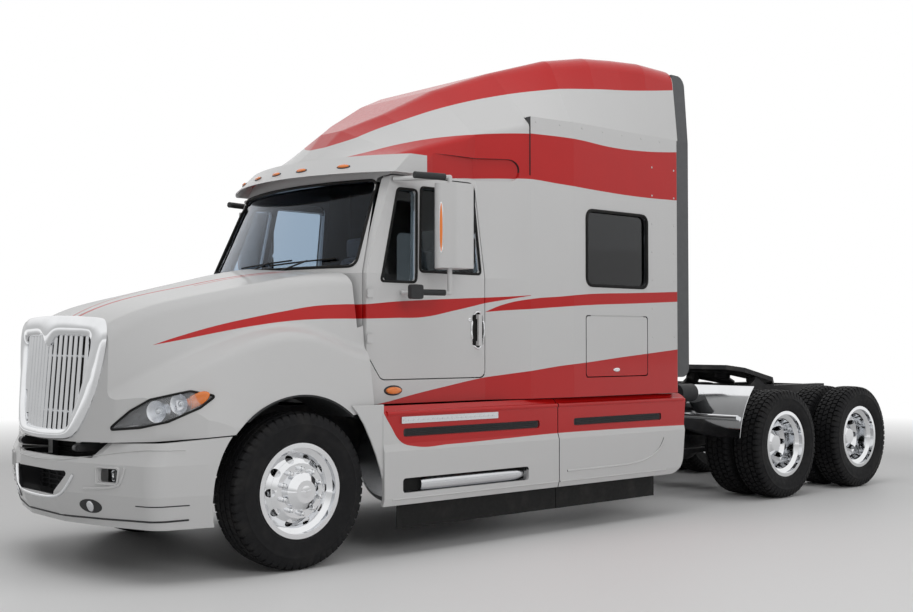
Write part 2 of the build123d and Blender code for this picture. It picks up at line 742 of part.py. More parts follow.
# Cab shell: walls between level plan outlines
WINDSHIELD_BASE_HEIGHT = 1930
COWL_CENTRE_AHEAD = -360
ROOF_CENTRE_AHEAD = -720
ROOF_CORNER_AHEAD = -930
COWL_CORNER_SIDE = 1045
ROOF_CORNER_SIDE = 930
ROOF_DOOR_SIDE = 950
FLARE_SIDE = 1170
CAB_WALL = 60
DOOR_FRONT_AHEAD = COWL_AHEAD - PANEL_GAP
DOOR_LOW = 1200
DOOR_TOP = 2640
DOOR_KNEE_HEIGHT = 1385
DOOR_KNEE_AHEAD = -735
DOOR_BELT = WINDSHIELD_BASE_HEIGHT
GLASS_DEPTH = 20
GLASS_WALL = 6
WINDSHIELD_LOW = 1985
WINDSHIELD_TOP = 2600
WINDSHIELD_LOW_SIDE = 940
WINDSHIELD_TOP_SIDE = 850
WINDSHIELD_ROUND = 60

CabPlan = namedtuple("CabPlan", "height centre corner corner_side rear_side")


def cab_plans():
    """Level outlines of the cab: at the sill, the windshield base and the roof."""
    base = (COWL_CENTRE_AHEAD, DOOR_FRONT_AHEAD, COWL_CORNER_SIDE, CAB_HALF_WIDTH)
    roof = (ROOF_CENTRE_AHEAD, ROOF_CORNER_AHEAD, ROOF_CORNER_SIDE, ROOF_DOOR_SIDE)
    return [
        CabPlan(SILL_HEIGHT, *base),
        CabPlan(WINDSHIELD_BASE_HEIGHT, *base),
        CabPlan(CAB_ROOF_HEIGHT, *roof),
    ]


def cab_level(plan, side_inset, front_inset, rear_ahead):
    """One level outline, moved inwards at the sides and at the front."""
    corner_side = plan.corner_side - side_inset
    corner = plan.corner - front_inset
    arc = ThreePointArc(
        (corner, -corner_side), (plan.centre - front_inset, 0), (corner, corner_side)
    )
    run = [
        (corner, corner_side),
        (DOOR_REAR_AHEAD, plan.rear_side - side_inset),
        (FLARE_REAR_AHEAD, FLARE_SIDE - side_inset),
        (rear_ahead, FLARE_SIDE - side_inset),
        (rear_ahead, side_inset - FLARE_SIDE),
        (FLARE_REAR_AHEAD, side_inset - FLARE_SIDE),
        (DOOR_REAR_AHEAD, side_inset - plan.rear_side),
        (corner, -corner_side),
    ]
    return plan_plane(plan.height) * make_face(arc + Polyline(*run))


def cab_solid(side_inset, front_inset):
    """The cab's outside, or a smaller body inside its walls."""
    rear = FLARE_REAR_AHEAD - OVERRUN
    levels = [cab_level(plan, side_inset, front_inset, rear) for plan in cab_plans()]
    lower = loft(levels[:2], ruled=True)
    upper = loft(levels[1:], ruled=True)
    return lower + upper


def door_outline(gap):
    """Side view of a door, larger than the panel by a gap."""
    lean = (ROOF_CORNER_AHEAD - DOOR_FRONT_AHEAD) / (CAB_ROOF_HEIGHT - WINDSHIELD_BASE_HEIGHT)
    top_front = DOOR_FRONT_AHEAD + lean * (DOOR_TOP - DOOR_BELT)
    points = [
        (DOOR_REAR_AHEAD + PANEL_GAP, DOOR_LOW),
        (DOOR_KNEE_AHEAD, DOOR_LOW),
        (DOOR_FRONT_AHEAD, DOOR_KNEE_HEIGHT),
        (DOOR_FRONT_AHEAD, DOOR_BELT),
        (top_front, DOOR_TOP),
        (DOOR_REAR_AHEAD + PANEL_GAP, DOOR_TOP),
    ]
    return grow(points, gap)


DOOR_CORNER_RADII = [50, 60, 60, 0, 70, 60]
DOOR_EDGE_SHEAR = 1 / 6
LIP_WALL = 15
LIP_INSET = 25
LIP_RELIEF = 2
LIP_RELIEF_RUN = 60
HINGE_RADIUS = 5
HINGE_SIDE = 1062
HINGE_LEAF = 50
HINGE_LENGTH = 60
HINGE_LOWS = (1450, 1760)
HINGE_AHEAD = COWL_AHEAD - PANEL_GAP / 2


def hinge_barrels():
    """Hinge barrels at the left door's front edge, each with its leaf on the skin."""
    barrels = []
    for low in HINGE_LOWS:
        ends = [point(HINGE_AHEAD, HINGE_SIDE, height) for height in (low, low + HINGE_LENGTH)]
        sides = (COWL_CORNER_SIDE - CAB_WALL / 3, HINGE_SIDE)
        leaf = block((HINGE_AHEAD - HINGE_LEAF, HINGE_AHEAD), sides, (low, low + HINGE_LENGTH))
        barrels.append(leaf + rod(*ends, HINGE_RADIUS))
    return barrels


def door_prism(gap):
    """Prism of a door, its front and rear edges sheared so that they clear as it swings."""
    inner = ROOF_CORNER_SIDE - CAB_WALL * 2
    shift = (CAB_HALF_WIDTH - inner) * DOOR_EDGE_SHEAR
    face = side_plane(inner) * Pos(shift, 0) * outline(door_outline(gap), DOOR_CORNER_RADII)
    run = Vector(-DOOR_EDGE_SHEAR, 1, 0) * (REACH - inner)
    return extrude(face, amount=run.length, dir=run)


def door_lip():
    """Lip of the left opening that the closed door meets, set back at the hinged edge."""
    slab = cab_side_wall(CAB_WALL - LIP_WALL / 3, CAB_WALL + LIP_WALL)
    ring = slab & (door_prism(LIP_WALL) - door_prism(-LIP_INSET))
    opening = door_prism(PANEL_GAP)
    hinge_end = block((COWL_AHEAD - LIP_RELIEF_RUN, 0), (0, REACH), (0, REACH))
    ring -= cab_side_wall(-SEAT_GAP, CAB_WALL + SEAT_GAP) & opening
    return ring - (cab_side_wall(-SEAT_GAP, CAB_WALL + LIP_RELIEF) & opening & hinge_end)


def windshield_outline(gap):
    """Front view of the windshield opening."""
    points = [
        (-WINDSHIELD_LOW_SIDE, WINDSHIELD_LOW),
        (WINDSHIELD_LOW_SIDE, WINDSHIELD_LOW),
        (WINDSHIELD_TOP_SIDE, WINDSHIELD_TOP),
        (-WINDSHIELD_TOP_SIDE, WINDSHIELD_TOP),
    ]
    return grow(points, gap)


SCOOP_AHEADS = (-2000, -930)
SCOOP_LOW = 2668
SCOOP_TOP = 2838
SCOOP_REAR_ROUND = 80
SCOOP_FRONT_ROUND = 40
SCOOP_WAIST_AHEADS = (-1700, -1300)
SCOOP_REAR_SIDE = 1098
SCOOP_WAIST_SIDES = (922, 925)
SCOOP_FRONT_SIDE = 975
SCOOP_FLOOR = [
    (SCOOP_AHEADS[1], SCOOP_FRONT_SIDE),
    (SCOOP_WAIST_AHEADS[1], SCOOP_WAIST_SIDES[1]),
    (SCOOP_WAIST_AHEADS[0], SCOOP_WAIST_SIDES[0]),
    (SCOOP_AHEADS[0], SCOOP_REAR_SIDE),
]


def roof_scoop():
    """Shallow air channel over the left door, running out into the flare."""
    radii = [SCOOP_REAR_ROUND, SCOOP_FRONT_ROUND, SCOOP_FRONT_ROUND, SCOOP_REAR_ROUND]
    side_view = side_prism(corners(SCOOP_AHEADS, (SCOOP_LOW, SCOOP_TOP)), 0, REACH, radii)
    plan = [*SCOOP_FLOOR, (SCOOP_AHEADS[0], REACH), (SCOOP_AHEADS[1], REACH)]
    return side_view & plan_prism(plan, SCOOP_LOW - OVERRUN, SCOOP_TOP + OVERRUN)


def make_cab():
    """Cab walls with the door and windshield openings, and the glass."""
    outside = cab_solid(0, 0)
    rear_cut = block(
        (FLARE_REAR_AHEAD, FLARE_REAR_AHEAD - REACH), (-REACH, REACH), (0, REACH + FRAME_TOP)
    )
    shell = outside - cab_solid(CAB_WALL, CAB_WALL) - rear_cut
    opening = door_prism(PANEL_GAP)
    shell -= opening
    shell -= flip(opening)
    lip = door_lip()
    shell += lip + flip(lip)
    front = (FLARE_REAR_AHEAD / 2, FRONT_OVERHANG)
    glass_radius = [WINDSHIELD_ROUND] * 4
    shell -= cross_prism(windshield_outline(0), *front, glass_radius)
    scoop = roof_scoop()
    shell -= scoop
    shell -= flip(scoop)
    save("cab_shell", [shell])
    pane = cab_solid(0, GLASS_DEPTH) - cab_solid(0, GLASS_DEPTH + GLASS_WALL)
    pane = pane & cross_prism(windshield_outline(-SEAT_GAP), *front, glass_radius)
    save("windshield", [pane])


# Doors, their glass and mirrors
VENT_LOW = 1885
VENT_TOP = 2540
VENT_LOW_AHEADS = (-1030, -733)
VENT_TOP_AHEADS = (-1112, -954)
VENT_GLASS = [
    (VENT_LOW_AHEADS[0], VENT_LOW),
    (VENT_LOW_AHEADS[1], VENT_LOW),
    (VENT_TOP_AHEADS[1], VENT_TOP),
    (VENT_TOP_AHEADS[0], VENT_TOP),
]
WINDOW_LOW = 1965
WINDOW_TOP = 2565
WINDOW_REAR_AHEAD = -1650
WINDOW_FRONT_AHEADS = (-1085, -1168)
MAIN_GLASS = [
    (WINDOW_REAR_AHEAD, WINDOW_LOW),
    (WINDOW_FRONT_AHEADS[0], WINDOW_LOW),
    (WINDOW_FRONT_AHEADS[1], WINDOW_TOP),
    (WINDOW_REAR_AHEAD, WINDOW_TOP),
]
WINDOW_ROUND = 30
HANDLE_AHEAD = -1607
HANDLE_LOW = 1430
HANDLE_TOP = 1660
HANDLE_WIDTH = 34
HANDLE_STANDOFF = 30
HANDLE_POCKET = 30
MIRROR_FRONT_AHEAD = -1010
MIRROR_REAR_AHEAD = -1300
MIRROR_LOW = 1970
MIRROR_TOP = 2560
MIRROR_INNER_SIDE = 1160
MIRROR_OUTER_SIDE = 1400
MIRROR_DEPTH = 120
MIRROR_ROUND = 50
MIRROR_ARM_RADIUS = 17
MIRROR_ARM_TOP = 2610
MIRROR_ARM_LOW = 1800
MIRROR_ARM_AHEAD = -900


def cab_side_wall(outer_inset, inner_inset):
    """Slab of the cab's side between two depths, up to its front corner."""
    return cab_solid(outer_inset, 0) - cab_solid(inner_inset, -OVERRUN)


def mirror_head():
    """Mirror housing and the arms that carry it on the door."""
    plan = [
        (MIRROR_REAR_AHEAD, MIRROR_INNER_SIDE),
        (MIRROR_FRONT_AHEAD - MIRROR_DEPTH, MIRROR_INNER_SIDE),
        (MIRROR_FRONT_AHEAD, (MIRROR_INNER_SIDE + MIRROR_OUTER_SIDE) / 2),
        (MIRROR_FRONT_AHEAD - MIRROR_DEPTH, MIRROR_OUTER_SIDE),
        (MIRROR_REAR_AHEAD, MIRROR_OUTER_SIDE),
    ]
    return plan


def make_doors():
    """Left and right doors: shells, glass and mirrors."""
    wall = cab_side_wall(0, CAB_WALL)
    inner = ROOF_CORNER_SIDE - CAB_WALL * 2
    shell = wall & door_prism(0)
    corner = [WINDOW_ROUND] * 4
    for window in (VENT_GLASS, MAIN_GLASS):
        shell -= side_prism(window, inner, REACH, corner)
    glass_slab = cab_side_wall(GLASS_DEPTH, GLASS_DEPTH + GLASS_WALL)
    panes = []
    for window in (VENT_GLASS, MAIN_GLASS):
        panes.append(glass_slab & side_prism(grow(window, -SEAT_GAP), inner, REACH, corner))
    handle = block(
        (HANDLE_AHEAD - HANDLE_WIDTH, HANDLE_AHEAD),
        (CAB_HALF_WIDTH - HANDLE_POCKET - PANEL_GAP, CAB_HALF_WIDTH + HANDLE_STANDOFF),
        (HANDLE_LOW, HANDLE_TOP),
    )
    handle -= block(
        (HANDLE_AHEAD - HANDLE_WIDTH * 2, HANDLE_AHEAD + HANDLE_WIDTH),
        (0, CAB_HALF_WIDTH + HANDLE_STANDOFF / 2),
        (HANDLE_LOW + HANDLE_WIDTH, HANDLE_TOP - HANDLE_WIDTH),
    )
    pocket = corners((HANDLE_AHEAD - HANDLE_WIDTH * 2, HANDLE_AHEAD + HANDLE_WIDTH), (HANDLE_LOW, HANDLE_TOP))
    shell -= side_prism(pocket, CAB_HALF_WIDTH - HANDLE_POCKET, REACH, [HANDLE_WIDTH / 2] * 4)
    shell += handle
    for barrel_piece in hinge_barrels():
        shell += barrel_piece
    head = plan_prism(mirror_head(), MIRROR_LOW, MIRROR_TOP, [MIRROR_ROUND] * 5)
    middle_side = (MIRROR_INNER_SIDE + MIRROR_OUTER_SIDE) / 2
    middle_ahead = (MIRROR_FRONT_AHEAD + MIRROR_REAR_AHEAD) / 2
    top_start = point(MIRROR_ARM_AHEAD, ROOF_CORNER_SIDE + OVERRUN, MIRROR_ARM_TOP)
    top_turn = point(middle_ahead, middle_side, MIRROR_ARM_TOP)
    low_start = point(MIRROR_ARM_AHEAD, CAB_HALF_WIDTH, MIRROR_ARM_LOW)
    low_turn = point(middle_ahead, middle_side, MIRROR_ARM_LOW)
    arms = rod(top_start, top_turn, MIRROR_ARM_RADIUS)
    arms += rod(low_start, low_turn, MIRROR_ARM_RADIUS)
    arms += rod(low_turn, top_turn, MIRROR_ARM_RADIUS)
    for turn in (top_turn, low_turn):
        arms += Pos(turn) * Sphere(MIRROR_ARM_RADIUS)
    arms -= cab_solid(-SEAT_GAP, -SEAT_GAP)
    mirror_body = head + arms
    for name, sign in SIDES.items():
        if sign > 0:
            save("door_" + name + "_shell", [shell])
            save("door_" + name + "_glass", panes)
            save("door_" + name + "_mirror", [mirror_body])
        else:
            save("door_" + name + "_shell", [flip(shell)])
            save("door_" + name + "_glass", [flip(pane) for pane in panes])
            save("door_" + name + "_mirror", [flip(mirror_body)])


# Sleeper shell, its windows and luggage doors
SLEEPER_WALL = 50
SLEEPER_FLARE_AHEAD = -2500
SLEEPER_ROUND = 20
SLEEPER_WINDOW_AHEADS = (-3380, -2655)
SLEEPER_WINDOW_HEIGHTS = (1910, 2490)
SLEEPER_WINDOW_ROUND = 70
HATCH_AHEADS = (-3387, -2643)
HATCH_HEIGHTS = (1186, 1661)
HATCH_ROUND = 25


def corners(aheads, heights):
    """Corner points of a side view rectangle."""
    low, high = min(aheads), max(aheads)
    bottom, top = min(heights), max(heights)
    return [(low, bottom), (high, bottom), (high, top), (low, top)]


def sleeper_plan(inset, front_ahead, rear_ahead):
    """Level outline of the sleeper, moved inwards."""
    half = SLEEPER_HALF_WIDTH - inset
    front = FLARE_SIDE - inset
    return [
        (rear_ahead, -half),
        (SLEEPER_FLARE_AHEAD, -half),
        (front_ahead, -front),
        (front_ahead, front),
        (SLEEPER_FLARE_AHEAD, half),
        (rear_ahead, half),
    ]


def make_sleeper():
    """Sleeper walls with windows and luggage hatches, their glass and lids."""
    heights = (SILL_HEIGHT, ROOF_SEAM_HEIGHT)
    shell = plan_prism(
        sleeper_plan(0, FLARE_REAR_AHEAD, SLEEPER_REAR_AHEAD),
        *heights,
        [SLEEPER_ROUND, 0, 0, 0, 0, SLEEPER_ROUND],
    )
    inside = sleeper_plan(SLEEPER_WALL, FLARE_REAR_AHEAD, SLEEPER_REAR_AHEAD + SLEEPER_WALL)
    shell -= plan_prism(inside, *heights)
    window = corners(SLEEPER_WINDOW_AHEADS, SLEEPER_WINDOW_HEIGHTS)
    corner = [SLEEPER_WINDOW_ROUND] * 4
    shell -= side_prism(window, -REACH, REACH, corner)
    hatch = corners(HATCH_AHEADS, HATCH_HEIGHTS)
    hatch_corner = [HATCH_ROUND] * 4
    shell -= side_prism(grow(hatch, PANEL_GAP), -REACH, REACH, hatch_corner)
    save("sleeper_shell", [shell])
    glass_outer = SLEEPER_HALF_WIDTH - GLASS_DEPTH
    pane = side_prism(grow(window, -SEAT_GAP), glass_outer - GLASS_WALL, glass_outer, corner)
    save("sleeper_glass", pair(pane))
    lid = side_prism(hatch, SLEEPER_HALF_WIDTH - SLEEPER_WALL / 2, SLEEPER_HALF_WIDTH, hatch_corner)
    hinge_height = max(HATCH_HEIGHTS) + PANEL_GAP / 2
    hinge_ends = (min(HATCH_AHEADS) + HATCH_ROUND * 2, max(HATCH_AHEADS) - HATCH_ROUND * 2)
    hinge_side = SLEEPER_HALF_WIDTH - PANEL_GAP / 2
    lid += rod(
        point(hinge_ends[0], hinge_side, hinge_height),
        point(hinge_ends[1], hinge_side, hinge_height),
        PANEL_GAP / 2 - SEAT_GAP,
    )
    lid += block(
        hinge_ends,
        (hinge_side - PANEL_GAP / 4, hinge_side + PANEL_GAP / 4),
        (max(HATCH_HEIGHTS) - PANEL_GAP, hinge_height),
    )
    save("luggage_door_left", [lid])
    save("luggage_door_right", [flip(lid)])


# Roof cap: cross sections from the visor to the rear of the sleeper
RoofStation = namedtuple("RoofStation", "ahead base knee_side knee_height top_side top_height")
ROOF_TOP_HEIGHT = 3830
ROOF_STATION_SHARES = [
    RoofStation(0.000, 0.760, 0.700, 0.010, 0.250, 0.012),
    RoofStation(0.054, 0.770, 0.700, 0.030, 0.120, 0.074),
    RoofStation(0.090, 0.772, 0.715, 0.060, 0.080, 0.190),
    RoofStation(0.130, 0.775, 0.720, 0.090, 0.110, 0.320),
    RoofStation(0.210, 0.780, 0.750, 0.160, 0.280, 0.440),
    RoofStation(0.332, 0.785, 0.785, 0.260, 0.400, 0.635),
    RoofStation(0.455, 0.955, 0.955, 0.350, 0.600, 0.775),
    RoofStation(0.580, 1.000, 1.000, 0.405, 0.800, 0.885),
    RoofStation(0.700, 1.000, 1.000, 0.405, 0.860, 0.950),
    RoofStation(0.800, 1.000, 1.000, 0.405, 0.890, 0.974),
    RoofStation(0.890, 1.000, 1.000, 0.405, 0.930, 0.984),
    RoofStation(1.000, 1.000, 1.000, 0.405, 0.950, 0.970),
]
ROOF_ROUND = 140
ROOF_KNEE_ROUND = 60
ROOF_WALL = 45
ROOF_FRONT_AHEAD = -640


def roof_section(station, inset):
    """One cross section of the roof cap as an anticlockwise run of points."""
    rise = ROOF_TOP_HEIGHT - CAB_ROOF_HEIGHT
    half = SLEEPER_HALF_WIDTH
    right = [
        (half * station.base, CAB_ROOF_HEIGHT),
        (half * station.knee_side, CAB_ROOF_HEIGHT + rise * station.knee_height),
        (half * station.top_side, CAB_ROOF_HEIGHT + rise * station.top_height),
    ]
    left = [(-side, height) for side, height in reversed(right)]
    points = right + left
    if not inset:
        return points
    inner = grow(points, -inset)
    inner[0] = (inner[0][0], CAB_ROOF_HEIGHT - OVERRUN)
    inner[-1] = (inner[-1][0], CAB_ROOF_HEIGHT - OVERRUN)
    return inner


def roof_ahead(share):
    """Place of a roof station along the cap."""
    return ROOF_FRONT_AHEAD + share * (SLEEPER_REAR_AHEAD - ROOF_FRONT_AHEAD)


def roof_loft(inset):
    """Body of the roof cap through all its sections."""
    faces = []
    radii = [0, ROOF_KNEE_ROUND, ROOF_ROUND, ROOF_ROUND, ROOF_KNEE_ROUND, 0]
    rise = ROOF_TOP_HEIGHT - CAB_ROOF_HEIGHT
    for station in ROOF_STATION_SHARES:
        if station.knee_height * rise < inset:
            continue
        points = roof_section(station, inset)
        radius = [max(each - inset, 0) for each in radii]
        face = outline(points, limit_radii(points, radius))
        faces.append(cross_plane(roof_ahead(station.ahead)) * face)
    return loft(faces, ruled=True)


def limit_radii(points, radii):
    """Corner radii cut down to what the neighbouring edges can hold."""
    room_share = 0.45
    least_share = 0.001
    limited = []
    for index, radius in enumerate(radii):
        here = Vector(*points[index])
        back = (Vector(*points[index - 1]) - here)
        on = (Vector(*points[(index + 1) % len(points)]) - here)
        turn = radians(180 - back.get_angle(on))
        room = min(back.length, on.length) * room_share
        limit = room / max(abs(sin(turn / 2) / cos(turn / 2)), least_share)
        limited.append(min(radius, limit))
    return limited


def make_roof():
    """Roof cap over the cab and the sleeper."""
    within = block(
        (SLEEPER_REAR_AHEAD + ROOF_WALL, 0), (-REACH, REACH), (0, REACH + FRAME_TOP)
    )
    cap = roof_loft(0) - (roof_loft(ROOF_WALL) & within)
    plan = cab_plans()[2]
    level = plan._replace(height=CAB_ROOF_HEIGHT)
    face = cab_level(level, 0, 0, SLEEPER_REAR_AHEAD)
    keep = extrude(face, amount=REACH, dir=(0, 0, 1))
    wide = block(
        (FLARE_REAR_AHEAD, SLEEPER_REAR_AHEAD),
        (-SLEEPER_HALF_WIDTH, SLEEPER_HALF_WIDTH),
        (ROOF_SEAM_HEIGHT, REACH + FRAME_TOP),
    )
    ahead_part = cap & keep & block((FLARE_REAR_AHEAD, 0), (-REACH, REACH), (0, REACH + FRAME_TOP))
    scoop = roof_scoop()
    roof = ahead_part + (cap & wide)
    roof -= scoop
    roof -= flip(scoop)
    save("roof_cap", [roof])


# Sun visor over the windshield
VISOR_CENTRE_AHEAD = -500
VISOR_END_AHEAD = -850
VISOR_END_SIDE = 1040
VISOR_LOW = 2650
VISOR_TOP = 2790
VISOR_SETBACK = 150
VISOR_WALL = 12


def visor_level(height, setback, inset):
    """One level outline of the visor's body."""
    centre = VISOR_CENTRE_AHEAD - setback - inset
    end = VISOR_END_AHEAD - setback - inset
    side = VISOR_END_SIDE - inset
    arc = ThreePointArc((end, -side), (centre, 0), (end, side))
    rear = VISOR_END_AHEAD - VISOR_SETBACK * 2
    run = [(end, side), (rear, side), (rear, -side), (end, -side)]
    return plan_plane(height) * make_face(arc + Polyline(*run))


def make_visor():
    """Curved visor lipped over the windshield, held by the cab front."""
    body = loft([visor_level(VISOR_LOW, 0, 0), visor_level(VISOR_TOP, VISOR_SETBACK, 0)])
    hollow = loft(
        [
            visor_level(VISOR_LOW, 0, VISOR_WALL),
            visor_level(VISOR_TOP - VISOR_WALL, VISOR_SETBACK, VISOR_WALL),
        ]
    )
    body -= hollow
    keep_out = cab_solid(-SEAT_GAP, -SEAT_GAP)
    body -= keep_out
    plan = cab_plans()[2]
    face = cab_level(plan, -SEAT_GAP, -SEAT_GAP, SLEEPER_REAR_AHEAD)
    body -= extrude(face, amount=REACH, dir=(0, 0, 1))
    save("sun_visor", [max(body.solids(), key=lambda solid: solid.volume)])


# Side extenders behind the sleeper
EXTENDER_REAR_AHEAD = -3970
EXTENDER_LOW = 1160
EXTENDER_TOP = 3750
EXTENDER_WALL = 22
EXTENDER_LEAN = 45
EXTENDER_ROUND = 90


def make_extenders():
    """Upright panel along each rear corner of the sleeper."""
    points = [
        (EXTENDER_REAR_AHEAD, EXTENDER_LOW),
        (SLEEPER_REAR_AHEAD - SEAT_GAP, EXTENDER_LOW),
        (SLEEPER_REAR_AHEAD - SEAT_GAP, EXTENDER_TOP),
        (EXTENDER_REAR_AHEAD, EXTENDER_TOP),
    ]
    inner = SLEEPER_HALF_WIDTH - SLEEPER_ROUND - EXTENDER_WALL
    lower = side_prism(points, inner, SLEEPER_HALF_WIDTH, [EXTENDER_ROUND, 0, 0, EXTENDER_ROUND])
    section = [
        (inner, EXTENDER_LOW - OVERRUN),
        (inner + EXTENDER_WALL, EXTENDER_LOW - OVERRUN),
        (inner + EXTENDER_WALL, ROOF_SEAM_HEIGHT),
        (inner + EXTENDER_WALL - EXTENDER_LEAN, EXTENDER_TOP + OVERRUN),
        (inner - EXTENDER_LEAN, EXTENDER_TOP + OVERRUN),
        (inner, ROOF_SEAM_HEIGHT),
    ]
    wide = side_prism(
        points, inner - EXTENDER_LEAN * 2, SLEEPER_HALF_WIDTH, [EXTENDER_ROUND, 0, 0, EXTENDER_ROUND]
    )
    panel = wide & cross_prism(section, EXTENDER_REAR_AHEAD - OVERRUN, SLEEPER_REAR_AHEAD)
    save("side_extenders", pair(panel))


# Skirts along the tanks, their steps and rubber flaps
FAIRING_TOP = SILL_HEIGHT - PANEL_GAP
FAIRING_LOW = 350
FAIRING_FRONT_AHEAD = -630
FAIRING_REAR_AHEAD = -3915
FAIRING_SEAM_AHEAD = -2330
FAIRING_WALL = 25
FAIRING_UPPER_SIDE = 1200
FAIRING_BELLY_SIDE = 1215
FAIRING_TUCK_SIDE = 1150
FAIRING_CREASE_HEIGHT = 740
FAIRING_SHOULDER = 50
FAIRING_REAR_ROUND = 160
FAIRING_TAIL = 75
FLAP_LOW = 185
FLAP_WALL = 8
FLAP_OVERLAP = 60
FLAP_FRONT_AHEAD = -770
FLAP_REAR_AHEAD = -3510
INTAKE_AHEADS = ((-2130, -805), (-3580, -2510))
INTAKE_LOW = 808
INTAKE_TOP = 868
INTAKE_DEPTH = 12
STEP_BAR_AHEADS = (-1686, -780)
STEP_BAR_LOW = 902
STEP_BAR_TOP = 948
STEP_BAR_WALL = 14
STEP_AHEADS = (-2000, -790)
STEP_LOW = 430
STEP_TOP = 530
STEP_DEPTH = 88
UPPER_STEP_DEPTH = 130
STEP_WALL = 8
UPPER_STEP_AHEADS = (-1725, -790)
UPPER_STEP_TOP = 1000
BRACKET_RADIUS = 24
BRACKET_AHEADS = (-900, -2450, -3550)


def fairing_section(inset):
    """Cross section of a skirt, seen from the front."""
    right = [
        (FAIRING_TUCK_SIDE, FAIRING_TOP),
        (FAIRING_UPPER_SIDE, FAIRING_TOP - FAIRING_SHOULDER),
        (FAIRING_UPPER_SIDE, FAIRING_CREASE_HEIGHT + FAIRING_SHOULDER / 2),
        (FAIRING_BELLY_SIDE, FAIRING_CREASE_HEIGHT - FAIRING_SHOULDER / 2),
        (FAIRING_BELLY_SIDE, FAIRING_LOW + FAIRING_SHOULDER),
        (FAIRING_UPPER_SIDE, FAIRING_LOW),
    ]
    left = [(side - FAIRING_WALL, height) for side, height in reversed(right)]
    return left + right


def make_fairings():
    """Skirts in two lengths on each side, with steps, brackets and flaps."""
    section = fairing_section(0)
    run = cross_prism(section, FAIRING_REAR_AHEAD, FAIRING_FRONT_AHEAD)
    shape = [
        (FAIRING_REAR_AHEAD + FAIRING_TAIL, FAIRING_LOW),
        (FAIRING_FRONT_AHEAD, FAIRING_LOW),
        (FAIRING_FRONT_AHEAD, FAIRING_TOP),
        (FAIRING_REAR_AHEAD, FAIRING_TOP),
    ]
    run = run & side_prism(shape, 0, REACH, [FAIRING_REAR_ROUND, 0, 0, FAIRING_SHOULDER])
    step_hole = corners(STEP_AHEADS, (STEP_LOW, STEP_TOP))
    run -= side_prism(step_hole, 0, REACH, [FAIRING_SHOULDER / 2] * 4)
    intake_round = [(INTAKE_TOP - INTAKE_LOW) / 3] * 4
    for aheads in INTAKE_AHEADS:
        intake = corners(aheads, (INTAKE_LOW, INTAKE_TOP))
        run -= side_prism(intake, FAIRING_UPPER_SIDE - INTAKE_DEPTH, REACH, intake_round)
    front = block((FAIRING_SEAM_AHEAD + PANEL_GAP / 2, 0), (0, REACH), (0, REACH))
    rear = block((FAIRING_SEAM_AHEAD - PANEL_GAP / 2, FAIRING_REAR_AHEAD), (0, REACH), (0, REACH))
    save("side_fairings", pair(run & front) + pair(run & rear))
    flap_outer = FAIRING_UPPER_SIDE - FAIRING_WALL - SEAT_GAP
    flaps = []
    for aheads in (
        (FLAP_FRONT_AHEAD, FAIRING_SEAM_AHEAD + PANEL_GAP / 2),
        (FAIRING_SEAM_AHEAD - PANEL_GAP / 2, FLAP_REAR_AHEAD),
    ):
        flaps += pair(
            block(aheads, (flap_outer - FLAP_WALL, flap_outer), (FLAP_LOW, FAIRING_LOW + FLAP_OVERLAP / 2))
        )
    save("fairing_flaps", flaps)
    tread_outer = FAIRING_BELLY_SIDE - FAIRING_WALL - SEAT_GAP
    tread_inner = tread_outer - STEP_DEPTH
    tread = block(STEP_AHEADS, (tread_inner, tread_outer), (STEP_LOW - STEP_WALL, STEP_LOW))
    tread += block(STEP_AHEADS, (tread_inner, tread_inner + STEP_WALL), (STEP_LOW, STEP_TOP))
    upper_outer = FAIRING_TUCK_SIDE - FAIRING_WALL + FAIRING_TOP - UPPER_STEP_TOP - SEAT_GAP
    upper = block(
        UPPER_STEP_AHEADS,
        (upper_outer - UPPER_STEP_DEPTH, upper_outer),
        (UPPER_STEP_TOP - STEP_WALL, UPPER_STEP_TOP),
    )
    step_outer = FAIRING_UPPER_SIDE - FAIRING_WALL - SEAT_GAP
    arms = []
    for ahead in BRACKET_AHEADS:
        start = point(ahead, FRAME_HALF_WIDTH + SEAT_GAP, FRAME_TOP - RAIL_HEIGHT / 3)
        end = point(ahead, step_outer, FRAME_TOP - RAIL_HEIGHT / 3)
        arms.append(rod(start, end, BRACKET_RADIUS))
    bar_sides = (FAIRING_UPPER_SIDE + SEAT_GAP, FAIRING_UPPER_SIDE + STEP_BAR_WALL)
    bar = block(STEP_BAR_AHEADS, bar_sides, (STEP_BAR_LOW, STEP_BAR_TOP))
    arm_pairs = [each for arm in arms for each in pair(arm)]
    save("steps", pair(tread) + pair(upper) + pair(bar) + arm_pairs)


